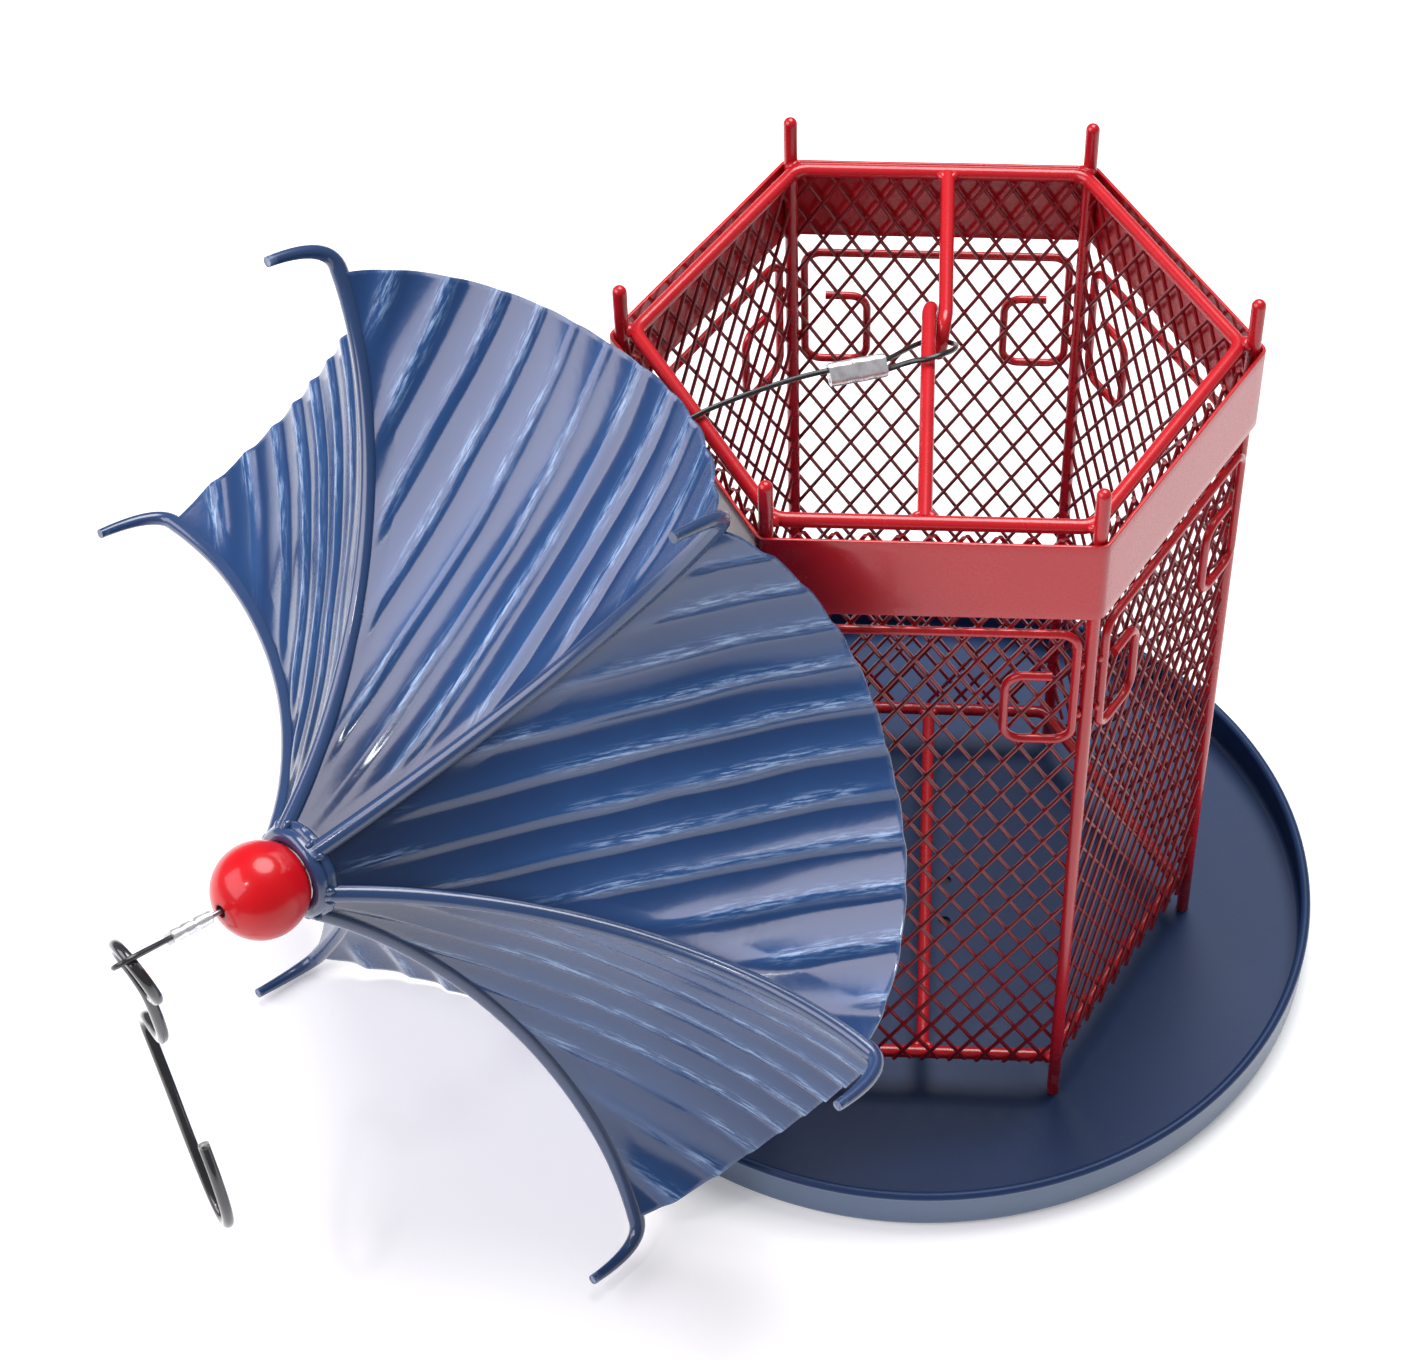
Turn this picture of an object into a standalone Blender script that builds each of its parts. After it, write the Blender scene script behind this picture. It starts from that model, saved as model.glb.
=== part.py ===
"""Hanging bird feeder: a round tray, a hexagonal wire cage, and a pagoda roof on a steel cable.

The roof is off the cage. It lies on its edge against one side of the cage, with its hook still on the cable.
Metres, +Z up, and the origin is the middle of the tray's underside.
"""
import math

import bmesh
import bpy
from mathutils import Matrix, Quaternion, Vector

# Clearances
GAP = 0.0003
CUT_OVERRUN = 0.001

# Tray
TRAY_RADIUS = 0.1245
TRAY_SHEET = 0.0012
TRAY_HEIGHT = 0.0160
TRAY_BEND_RADIUS = 0.0030
TRAY_BEAD_DIAMETER = 0.0030
TRAY_BEAD_OVERHANG = 0.0004
TRAY_SIDES = 36
DRAIN_DIAMETER = 0.0040
DRAIN_CIRCLE_RADIUS = 0.0120
DRAINS = 4
DRAIN_TURN = math.radians(45)

# Cage posts and the screws that hold them
FACES = 6
FACE_ANGLE = math.tau / FACES
HALF_FACE_ANGLE = FACE_ANGLE / 2
POST_CIRCLE_RADIUS = 0.0850
POST_DIAMETER = 0.0040
POST_HEIGHT = 0.2560
POST_SIDES = 10
SCREW_DIAMETER = 0.0020
SCREW_HEAD_DIAMETER = 0.0038
SCREW_HEAD_HEIGHT = 0.0009
SCREW_DEPTH = 0.0080
SCREW_SLOT_WIDTH = 0.0007
SCREW_SLOT_DEPTH = 0.0004

# Rings and cross bars, all of one rod
ROD_DIAMETER = 0.0040
RING_BEND_RADIUS = 0.0060
TOP_RING_DROP = 0.0158
BOTTOM_RING_HEIGHT = 0.0140
PIGTAIL_DIAMETER = 0.0120
PIGTAIL_SPREAD = 0.0045
PIGTAIL_OFFSET = 0.0100
BOTTOM_BAR_OFFSET = 0.0020

# Band round the top of the cage
BAND_SHEET = 0.0010
BAND_WIDTH = 0.0268
BAND_DROP = 0.0012

# Mesh panels
MESH_WIRE = 0.0013
MESH_COLUMNS = 3
MESH_ROWS = 5

# Key pattern of bent wire on each face
FRET_WIRE = 0.0025
FRET_DROP = 0.0065
FRET_HEIGHT = 0.0410
FRET_INNER_HEIGHT = 0.0247
FRET_SIDE_MARGIN = 0.0036
FRET_FOOT_WIDTH = 0.0185
FRET_CURL_WIDTH = 0.0123
FRET_BEND_RADIUS = 0.0050
BEND_STEPS = 2

# Roof
ROOF_CORNER_RADIUS = 0.1457
ROOF_DROP = 0.0666
ROOF_SHEET = 0.0008
EAVE_SAG = 0.0308
EAVE_BULGE = 0.0032
SAG_POWER = 2.4
BULGE_POWER = 7.2
RIB_DIAMETER = 0.0050
RIB_START_RADIUS = 0.0127
RIB_START_RISE = 0.0026
RIB_TIP_DIAMETER = 0.0030
RIB_TIP_REACH = 0.0088
RIB_TIP_RISE = 0.0210
RIB_STEPS = 7
TIP_STEPS = 3
PANEL_ROWS = 7
PANEL_COLUMNS = 6
PANEL_TOP_RADIUS = 0.0118
RIB_CURVE_shares = ((0.329, 0.653), (0.732, 1.036))

# Collar and ball at the top of the roof
COLLAR_DIAMETER = 0.0262
COLLAR_WIRE = 0.0044
COLLAR_RISE = 0.0048
BALL_DIAMETER = 0.0270
BALL_BORE = 0.0034

# Cable and its ferrules
CABLE_DIAMETER = 0.0015
STRAND_SPACING = 0.0026
FERRULE_THICKNESS = 0.0039
FERRULE_WIDTH = 0.0065
LOWER_FERRULE_LENGTH = 0.0160
UPPER_FERRULE_LENGTH = 0.0126
FERRULE_CLEARANCE = 0.0045
UPPER_FERRULE_TURN = math.radians(51.3)

# Hook: a ring, a straight neck, and a body with a kink and a bowl, as shares of the bowl's width
HOOK_WIRE = 0.0033
HOOK_RING_DIAMETER = 0.0180
HOOK_NECK = 0.0200
HOOK_NECK_OFFSET = 0.0013
HOOK_BOWL_WIDTH = 0.0214
HOOK_REACH = 0.0603
HOOK_LIFT = 0.0029
HOOK_RING_AZIMUTH = math.radians(-48.2)
HOOK_RING_LEAN = math.radians(11.3)
HOOK_RING_START = math.radians(-68)
HOOK_RING_END = math.radians(235)
HOOK_RING_STEPS = 14
HOOK_BODY_AZIMUTH = math.radians(-58.0)
HOOK_NECK_shares = ((-0.18, 0.13), (-0.02, 0.40))
HOOK_BODY_shares = (
    (0, 0.000), (-0.120, 0.250), (-0.420, 0.400), (-0.740, 0.520), (-0.925, 0.850), (-0.700, 1.180),
    (-0.383, 1.598), (0.075, 2.290), (0.589, 2.813), (0.888, 2.921), (1.120, 2.780), (1.192, 2.383),
    (1.051, 1.893), (0.790, 1.435),
)

# How the roof lies beside the cage: its top points away, near level, and one eave leans on the band
LEAN_FACE_AZIMUTH = math.radians(210)
LEAN_AZIMUTH = math.radians(-132.45)
LEAN_TILT = math.radians(78.73)
LEAN_SPIN = math.radians(91.63)
LEAN_SIDEWAYS = -0.0135
LEAN_PANEL = 2
LEAN_GAP = 0.0020
GROUND_GAP = 0.0004
SEAT_GAP = 0.0008
RIB_SLOPE_share = 1.1

# Levels and radii that follow
POST_RADIUS = POST_DIAMETER / 2
ROD_RADIUS = ROD_DIAMETER / 2
POST_BOTTOM = TRAY_SHEET + GAP
POST_TOP = POST_BOTTOM + POST_HEIGHT
TOP_RING_LEVEL = POST_TOP - TOP_RING_DROP
BOTTOM_RING_LEVEL = TRAY_SHEET + BOTTOM_RING_HEIGHT
BAND_TOP = TOP_RING_LEVEL - BAND_DROP
BAND_BOTTOM = BAND_TOP - BAND_WIDTH
POST_PLANE = POST_CIRCLE_RADIUS * math.cos(HALF_FACE_ANGLE)
RING_CORNER_RADIUS = POST_CIRCLE_RADIUS - POST_RADIUS - GAP - ROD_RADIUS - RING_BEND_RADIUS
RING_PLANE = RING_CORNER_RADIUS * math.cos(HALF_FACE_ANGLE) + RING_BEND_RADIUS
BAND_PLANE = POST_PLANE + POST_RADIUS + GAP + BAND_SHEET
MESH_PLANE = RING_PLANE + ROD_RADIUS + GAP + MESH_WIRE / 2
FRET_PLANE = MESH_PLANE + MESH_WIRE / 2 + GAP + FRET_WIRE / 2
COLLAR_RING_RADIUS = (COLLAR_DIAMETER - COLLAR_WIRE) / 2
UP = Vector((0, 0, 1))

# The lower ferrule: its middle, the line from its near end to its far end, and the way to its second bore
LOWER_FERRULE_CENTRE = Vector((-0.0210, -0.0135, 0.2418))
LOWER_FERRULE_LINE_shares = Vector((-0.9354, -0.3501, 0.0500))
LOWER_FERRULE_ACROSS_shares = Vector((0.2170, -0.6797, -0.7006))

# Cable inside the cage: out of the lower ferrule, round the pigtail and back to the ferrule
CABLE_EYE = (
    (-0.0090, -0.0112, 0.2422), (-0.0055, -0.0120, 0.2443), (-0.0022, -0.0123, 0.2453), (0.0012, -0.0105, 0.2453),
    (0.0040, -0.0065, 0.2432), (0.0052, -0.0010, 0.2398), (0.0046, 0.0042, 0.2362), (0.0012, 0.0074, 0.2343),
    (-0.0030, 0.0063, 0.2349), (-0.0085, -0.0015, 0.2386), (-0.0115, -0.0070, 0.2412),
)
# Cable over the ring and down through the roof's hollow
CABLE_CROSSING = (
    (-0.0400, -0.0215, 0.2443), (-0.0612, -0.0354, 0.2453), (-0.0685, -0.0402, 0.2430), (-0.0765, -0.0452, 0.2355),
    (-0.0940, -0.0565, 0.2070), (-0.1160, -0.0700, 0.1700), (-0.1350, -0.0822, 0.1475),
)
# Cable at the roof's top, as (across, 0, along) on the roof's axis: straight up, then the loop for the hook's ring
CABLE_ENTRY = 0.0200
CABLE_LOOP = (
    (-0.00005, 0, 0.0530), (0, 0, 0.0580), (0.00005, 0, 0.0620), (0.0010, 0, 0.0645), (0.0035, 0, 0.0655),
    (0.0060, 0, 0.0645), (0.0070, 0, 0.0620), (0.0066, 0, 0.0580), (0.0046, 0, 0.0530), (0.0030, 0, 0.0495),
)
CABLE_PIECES = 2
CABLE_STEP = 0.0100


def clear_scene():
    for old in list(bpy.data.objects):
        bpy.data.objects.remove(old, do_unlink=True)


def finish_material(name, colour, roughness, metallic):
    material = bpy.data.materials.new(name)
    material.use_nodes = True
    shader = material.node_tree.nodes["Principled BSDF"]
    shader.inputs["Base Color"].default_value = (*colour, 1.0)
    shader.inputs["Roughness"].default_value = roughness
    shader.inputs["Metallic"].default_value = metallic
    material.diffuse_color = (*colour, 1.0)
    return material


def place(name, data, material, matrix=None, parent=None):
    """Puts mesh or curve data in the scene as one named object."""
    thing = bpy.data.objects.new(name, data)
    bpy.context.collection.objects.link(thing)
    if not data.materials:
        data.materials.append(material)
    if parent:
        thing.parent = parent
    if matrix:
        thing.matrix_local = matrix
    return thing


def mesh_data(name, bm):
    bmesh.ops.recalc_face_normals(bm, faces=bm.faces)
    mesh = bpy.data.meshes.new(name)
    bm.to_mesh(mesh)
    bm.free()
    mesh.shade_smooth()
    mesh.set_sharp_from_angle(angle=math.radians(35))
    return mesh


def turned(name, profile, sides, closed=False):
    """A solid of revolution about Z: the profile is (radius, height) points, open ones start and end on the axis."""
    bm = bmesh.new()
    verts = [bm.verts.new((radius, 0, height)) for radius, height in profile]
    pairs = list(zip(verts, verts[1:]))
    if closed:
        pairs.append((verts[-1], verts[0]))
    edges = [bm.edges.new(pair) for pair in pairs]
    bmesh.ops.spin(bm, geom=verts + edges, cent=(0, 0, 0), axis=UP, angle=math.tau, steps=sides, use_merge=True)
    bmesh.ops.remove_doubles(bm, verts=bm.verts, dist=GAP / 100)
    return mesh_data(name, bm)


def rod(name, points, diameter, closed=False, resolution=2, thickness=None):
    """A round rod along the points, as a curve with a bevel and filled caps."""
    curve = bpy.data.curves.new(name, "CURVE")
    curve.dimensions = "3D"
    curve.bevel_depth = diameter / 2
    curve.bevel_resolution = resolution
    curve.use_fill_caps = not closed
    spline = curve.splines.new("POLY")
    spline.points.add(len(points) - 1)
    for index, point in enumerate(points):
        spline.points[index].co = (*point, 1)
        spline.points[index].radius = thickness[index] if thickness else 1
    spline.use_cyclic_u = closed
    spline.use_smooth = True
    return curve


def arc(centre, radius, start, end, steps):
    angles = [start + (end - start) * step / steps for step in range(steps + 1)]
    return [(centre[0] + radius * math.cos(a), centre[1] + radius * math.sin(a)) for a in angles]


def rounded(points, radius, steps):
    """The points of a bent wire: each inner corner becomes an arc."""
    corners = [Vector(point) for point in points]
    path = [corners[0]]
    for before, corner, after in zip(corners, corners[1:], corners[2:]):
        arm_in = (before - corner).normalized()
        arm_out = (after - corner).normalized()
        half = arm_in.angle(arm_out) / 2
        reach = radius / math.tan(half)
        centre = corner + (arm_in + arm_out).normalized() * (radius / math.sin(half))
        start = corner + arm_in * reach - centre
        end = corner + arm_out * reach - centre
        turn = start.rotation_difference(end)
        for step in range(steps + 1):
            path.append(centre + Quaternion(turn.axis, turn.angle * step / steps) @ start)
    path.append(corners[-1])
    return path


def smooth_route(points, pieces):
    """Points of a smooth curve through the given points, with as many pieces to each stretch as asked.

    Each bend is eased by how far apart its points are, so the curve never overshoots or doubles back.
    """
    knots = [Vector(point) for point in points]
    ends = [knots[0] * 2 - knots[1]] + knots + [knots[-1] * 2 - knots[-2]]
    route = []
    for index, count in enumerate(pieces):
        a, b, c, d = ends[index:index + 4]
        before, here, after = ((q - p).length ** 0.5 for p, q in ((a, b), (b, c), (c, d)))
        leave = c - b + ((b - a) / before - (c - a) / (before + here)) * here
        arrive = c - b + ((d - c) / after - (d - b) / (here + after)) * here
        for step in range(count):
            t = step / count
            bent = (b - c) * 2 + leave + arrive
            route.append(b + leave * t + (c - b - leave - bent) * t ** 2 + bent * t ** 3)
    return route + [knots[-1]]


def hexagon(centre_radius, bend_radius, steps):
    """A rounded hexagon whose corners are arcs about points on the post directions."""
    outline = []
    for corner in range(FACES):
        angle = corner * FACE_ANGLE
        centre = (centre_radius * math.cos(angle), centre_radius * math.sin(angle))
        outline += arc(centre, bend_radius, angle - HALF_FACE_ANGLE, angle + HALF_FACE_ANGLE, steps)
    return outline


def axes_matrix(origin, z_axis, x_axis):
    z_axis = z_axis.normalized()
    x_axis = (x_axis - z_axis * x_axis.dot(z_axis)).normalized()
    turn = Matrix((x_axis, z_axis.cross(x_axis), z_axis)).transposed().to_4x4()
    return Matrix.Translation(origin) @ turn


def face_turn(index):
    """Turns a piece modelled on the front face, which looks along -Y, to one of the faces."""
    return Matrix.Rotation(index * FACE_ANGLE, 4, "Z")


def post_place(index):
    angle = index * FACE_ANGLE
    return Matrix.Translation((POST_CIRCLE_RADIUS * math.cos(angle), POST_CIRCLE_RADIUS * math.sin(angle), 0))


def make_cutter(name, parts, target):
    """Joins closed shapes into one hidden cutter and takes them out of the target."""
    bm = bmesh.new()
    for mesh, matrix in parts:
        piece = bmesh.new()
        piece.from_mesh(mesh)
        piece.transform(matrix)
        joined = bpy.data.meshes.new(name)
        piece.to_mesh(joined)
        bm.from_mesh(joined)
        piece.free()
    cutter = place(name, mesh_data(name, bm), target.data.materials[0])
    cutter.hide_render = True
    cutter.display_type = "WIRE"
    cutter.matrix_world = target.matrix_world
    cut = target.modifiers.new(name, "BOOLEAN")
    cut.operation = "DIFFERENCE"
    cut.solver = "EXACT"
    cut.object = cutter


def make_tray(material):
    wall_outside = TRAY_RADIUS - TRAY_BEAD_OVERHANG
    wall_inside = wall_outside - TRAY_SHEET
    bead_radius = TRAY_BEAD_DIAMETER / 2
    bead_centre = (TRAY_RADIUS - bead_radius, TRAY_HEIGHT - bead_radius)
    bead_start = -math.acos((wall_outside - bead_centre[0]) / bead_radius)
    bead_end = math.tau - math.acos((wall_inside - bead_centre[0]) / bead_radius)
    inner_bend = TRAY_BEND_RADIUS - TRAY_SHEET
    outer_corner = (wall_outside - TRAY_BEND_RADIUS, TRAY_BEND_RADIUS)
    profile = [(0, 0)] + arc(outer_corner, TRAY_BEND_RADIUS, -math.pi / 2, 0, 3)
    profile += arc(bead_centre, bead_radius, bead_start, bead_end, 7)
    profile += arc(outer_corner, inner_bend, 0, -math.pi / 2, 2) + [(0, TRAY_SHEET)]
    tray = place("tray", turned("tray", profile, TRAY_SIDES), material)
    drain = turned("drain", [(0, -CUT_OVERRUN), (DRAIN_DIAMETER / 2, -CUT_OVERRUN),
                             (DRAIN_DIAMETER / 2, TRAY_SHEET + CUT_OVERRUN), (0, TRAY_SHEET + CUT_OVERRUN)], 8)
    head = SCREW_HEAD_DIAMETER / 2 + GAP
    shank = SCREW_DIAMETER / 2 + GAP
    sink_depth = SCREW_HEAD_HEIGHT + GAP / 2
    sink = turned("screw_sink", [(0, -CUT_OVERRUN), (head, -CUT_OVERRUN), (head, 0), (shank, sink_depth),
                                 (shank, TRAY_SHEET + CUT_OVERRUN), (0, TRAY_SHEET + CUT_OVERRUN)], 8)
    cuts = [(sink, post_place(index)) for index in range(FACES)]
    for index in range(DRAINS):
        turn = Matrix.Rotation(index * math.tau / DRAINS + DRAIN_TURN, 4, "Z")
        cuts.append((drain, turn @ Matrix.Translation((DRAIN_CIRCLE_RADIUS, 0, 0))))
    make_cutter("tray_holes", cuts, tray)


def make_posts(material):
    dome = arc((0, POST_TOP - POST_RADIUS), POST_RADIUS, math.pi / 2, 0, 3)
    bore = SCREW_DIAMETER / 2 + GAP
    bore_top = POST_BOTTOM + SCREW_DEPTH + GAP
    profile = [(0, POST_TOP)] + dome[1:] + [(POST_RADIUS, POST_BOTTOM), (bore, POST_BOTTOM), (bore, bore_top)]
    mesh = turned("post", profile + [(0, bore_top)], POST_SIDES)
    for index in range(FACES):
        place(f"post_{index + 1}", mesh, material, post_place(index))


def make_post_screws(material):
    head = SCREW_HEAD_DIAMETER / 2
    shank = SCREW_DIAMETER / 2
    end = POST_BOTTOM + SCREW_DEPTH
    slot = SCREW_SLOT_WIDTH / 2
    sunk = SCREW_SLOT_DEPTH
    profile = [(0, sunk), (slot, sunk), (slot, 0), (head, 0), (shank, SCREW_HEAD_HEIGHT), (shank, end), (0, end)]
    mesh = turned("post_screw", profile, 8)
    for index in range(FACES):
        place(f"post_screw_{index + 1}", mesh, material, post_place(index))


def make_rings(material):
    outline = hexagon(RING_CORNER_RADIUS, RING_BEND_RADIUS, 3)
    for name, level in (("top_ring", TOP_RING_LEVEL), ("bottom_ring", BOTTOM_RING_LEVEL)):
        place(name, rod(name, [(x, y, level) for x, y in outline], ROD_DIAMETER, closed=True), material)


def make_cross_bars(material):
    half_length = RING_PLANE - ROD_RADIUS - GAP
    start = Vector((BOTTOM_BAR_OFFSET, half_length, BOTTOM_RING_LEVEL))
    end = Vector((BOTTOM_BAR_OFFSET, -half_length, BOTTOM_RING_LEVEL))
    place("bottom_cross_bar", rod("bottom_cross_bar", [start, end], ROD_DIAMETER), material)
    side = PIGTAIL_SPREAD / 2
    radius = PIGTAIL_DIAMETER / 2
    turns = 16
    path = [Vector((side, half_length, TOP_RING_LEVEL))]
    for step in range(turns + 1):
        angle = math.tau * step / turns
        across = side - PIGTAIL_SPREAD * step / turns
        along = PIGTAIL_OFFSET - radius * math.sin(angle)
        path.append(Vector((across, along, TOP_RING_LEVEL - radius + radius * math.cos(angle))))
    path.append(Vector((-side, -half_length, TOP_RING_LEVEL)))
    place("top_cross_bar", rod("top_cross_bar", path, ROD_DIAMETER), material)


def make_band(material):
    inner = hexagon(POST_CIRCLE_RADIUS, POST_RADIUS + GAP, 3)
    outer = hexagon(POST_CIRCLE_RADIUS, POST_RADIUS + GAP + BAND_SHEET, 3)
    bm = bmesh.new()
    loops = [[bm.verts.new((x, y, BAND_BOTTOM)) for x, y in outline] for outline in (inner, outer)]
    edges = [bm.edges.new((loop[i - 1], loop[i])) for loop in loops for i in range(len(loop))]
    flat = bmesh.ops.bridge_loops(bm, edges=edges)["faces"]
    grown = bmesh.ops.extrude_face_region(bm, geom=flat)["geom"]
    raised = [item for item in grown if isinstance(item, bmesh.types.BMVert)]
    bmesh.ops.translate(bm, verts=raised, vec=UP * BAND_WIDTH)
    place("top_band", mesh_data("top_band", bm), material)


def make_mesh_panels(material):
    """A net of diamonds: faces between the crossing wires, thickened along their edges."""
    half_width = POST_CIRCLE_RADIUS * math.sin(HALF_FACE_ANGLE) - POST_RADIUS - GAP - MESH_WIRE / 2
    low = BOTTOM_RING_LEVEL - ROD_RADIUS + MESH_WIRE / 2
    high = BAND_TOP - MESH_WIRE / 2
    step_x = half_width / MESH_COLUMNS
    step_z = (high - low) / MESH_ROWS / 2
    bm = bmesh.new()
    knots = {}

    def knot(column, row):
        column = min(max(column, 0), 2 * MESH_COLUMNS)
        row = min(max(row, 0), 2 * MESH_ROWS)
        if (column, row) not in knots:
            place_xz = (column * step_x - half_width, -MESH_PLANE, low + row * step_z)
            knots[column, row] = bm.verts.new(place_xz)
        return knots[column, row]

    for column in range(2 * MESH_COLUMNS + 1):
        for row in range(2 * MESH_ROWS + 1):
            if (column + row) % 2 == 0:
                continue
            around = (knot(column, row - 1), knot(column + 1, row), knot(column, row + 1), knot(column - 1, row))
            corners = [vert for i, vert in enumerate(around) if vert is not around[i - 1]]
            bm.faces.new(corners)
    mesh = bpy.data.meshes.new("mesh_panel")
    bm.to_mesh(mesh)
    bm.free()
    for index in range(FACES):
        panel = place(f"mesh_panel_{index + 1}", mesh, material, face_turn(index))
        wires = panel.modifiers.new("wires", "WIREFRAME")
        wires.thickness = MESH_WIRE
        wires.use_boundary = True
        wires.use_even_offset = False


def make_frets(material):
    """One bent wire to a face, with a square spiral at each end of its straight top."""
    top = BAND_BOTTOM - FRET_DROP
    foot = top - FRET_HEIGHT
    curl = foot + FRET_INNER_HEIGHT
    side = POST_CIRCLE_RADIUS * math.sin(HALF_FACE_ANGLE) - FRET_SIDE_MARGIN
    inner = side - FRET_FOOT_WIDTH
    free = inner + FRET_CURL_WIDTH
    right = [(side, top), (side, foot), (inner, foot), (inner, curl), (free, curl)]
    left = [(-x, z) for x, z in reversed(right)]
    path = rounded([(x, -FRET_PLANE, z) for x, z in left + right], FRET_BEND_RADIUS, BEND_STEPS)
    wire = rod("fret_wire", path, FRET_WIRE, resolution=1)
    for index in range(FACES):
        place(f"fret_wire_{index + 1}", wire, material, face_turn(index))


def bezier(points, t):
    while len(points) > 1:
        points = [a.lerp(b, t) for a, b in zip(points, points[1:])]
    return points[0]


def rib_line():
    """The rib's centre line as (radius, 0, height) below the roof's top, down to the eave's corner."""
    start = Vector((RIB_START_RADIUS, 0, RIB_START_RISE))
    corner = Vector((ROOF_CORNER_RADIUS, 0, -ROOF_DROP))
    hand = [Vector((r * ROOF_CORNER_RADIUS, 0, -z * ROOF_DROP)) for r, z in RIB_CURVE_shares]
    return [bezier([start] + hand + [corner], step / RIB_STEPS) for step in range(RIB_STEPS + 1)]


def rib_height(radius):
    line = rib_line()
    for low, high in zip(line, line[1:]):
        if radius <= high.x:
            return low.z + (high.z - low.z) * (radius - low.x) / (high.x - low.x)
    return line[-1].z


def rib_points():
    line = rib_line()
    corner = line[-1]
    tip = corner + Vector((RIB_TIP_REACH, 0, RIB_TIP_RISE))
    bend = corner + Vector((RIB_TIP_REACH, 0, 0))
    flick = [bezier([corner, bend, tip], step / TIP_STEPS) for step in range(1, TIP_STEPS + 1)]
    taper = [1 + (RIB_TIP_DIAMETER / RIB_DIAMETER - 1) * step / TIP_STEPS for step in range(1, TIP_STEPS + 1)]
    return line + flick, [1] * len(line) + taper


def panel_point(down, across):
    """A point of the roof sheet about +X: down runs 0 to 1 from top to eave, across -1 to 1 between the ribs."""
    lean_in = math.cos(HALF_FACE_ANGLE)
    eave = ROOF_CORNER_RADIUS * lean_in + EAVE_BULGE * (1 - abs(across) ** BULGE_POWER)
    out = PANEL_TOP_RADIUS + (eave - PANEL_TOP_RADIUS) * down
    edge = out * math.tan(HALF_FACE_ANGLE) - (RIB_DIAMETER / 2 + GAP) / lean_in
    corner_out = PANEL_TOP_RADIUS / lean_in
    height = rib_height(corner_out + (ROOF_CORNER_RADIUS - corner_out) * down)
    sag = EAVE_SAG * down ** 2 * (1 - abs(across) ** SAG_POWER)
    return Vector((out, edge * across, height - sag))


def lowest_of_roof(turn):
    """How far the roof's lowest edge or rib lies below its top when it is turned."""
    line, thickness = rib_points()
    depths = []
    for index in range(FACES):
        rib_turn = turn @ Matrix.Rotation(index * FACE_ANGLE, 4, "Z")
        sheet_turn = turn @ Matrix.Rotation(index * FACE_ANGLE + HALF_FACE_ANGLE, 4, "Z")
        depths += [(rib_turn @ point).z - RIB_DIAMETER / 2 * size for point, size in zip(line, thickness)]
        for column in range(PANEL_COLUMNS + 1):
            edge = panel_point(1, column * 2 / PANEL_COLUMNS - 1)
            depths.append((sheet_turn @ edge).z - ROOF_SHEET / 2)
    return min(depths)


def roof_places():
    """The turn that lays the raised roof down, a point on its line, and the roof's top, raised and lying.

    The roof is raised just so far above the posts that the turn needs no slide along its line.
    """
    turn = Matrix.Rotation(LEAN_AZIMUTH, 4, "Z") @ Matrix.Rotation(LEAN_TILT, 4, "Y")
    turn = turn @ Matrix.Rotation(LEAN_SPIN, 4, "Z")
    outward = Vector((math.cos(LEAN_FACE_AZIMUTH), math.sin(LEAN_FACE_AZIMUTH), 0))
    sheet_turn = turn @ Matrix.Rotation(LEAN_PANEL * FACE_ANGLE - HALF_FACE_ANGLE, 4, "Z")
    eave = [sheet_turn @ panel_point(1, column / PANEL_COLUMNS * 2 - 1) for column in range(PANEL_COLUMNS + 1)]
    nearest = min(point.dot(outward) for point in eave) - ROOF_SHEET / 2
    lying = outward * (BAND_PLANE + LEAN_GAP - nearest) + outward.cross(UP) * LEAN_SIDEWAYS
    lying += UP * (GROUND_GAP - lowest_of_roof(turn))
    seat = (RIB_DIAMETER / 2 + SEAT_GAP) * RIB_SLOPE_share
    seated = UP * (POST_TOP + seat - rib_height(POST_CIRCLE_RADIUS))
    whole = turn.to_quaternion()
    raised = seated - UP * whole.axis.dot(seated - lying) / whole.axis.z
    centre = (raised + lying) / 2 + whole.axis.cross(lying - raised) / (2 * math.tan(whole.angle / 2))
    return turn, centre, raised, lying


def ball_rise():
    """Height of the ball's centre above the roof's top when it sits on the collar."""
    seat = BALL_DIAMETER / 2 + COLLAR_WIRE / 2 + GAP
    return COLLAR_RISE + math.sqrt(seat ** 2 - COLLAR_RING_RADIUS ** 2)


def upper_ferrule_rise():
    return ball_rise() + BALL_DIAMETER / 2 + FERRULE_CLEARANCE


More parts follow.
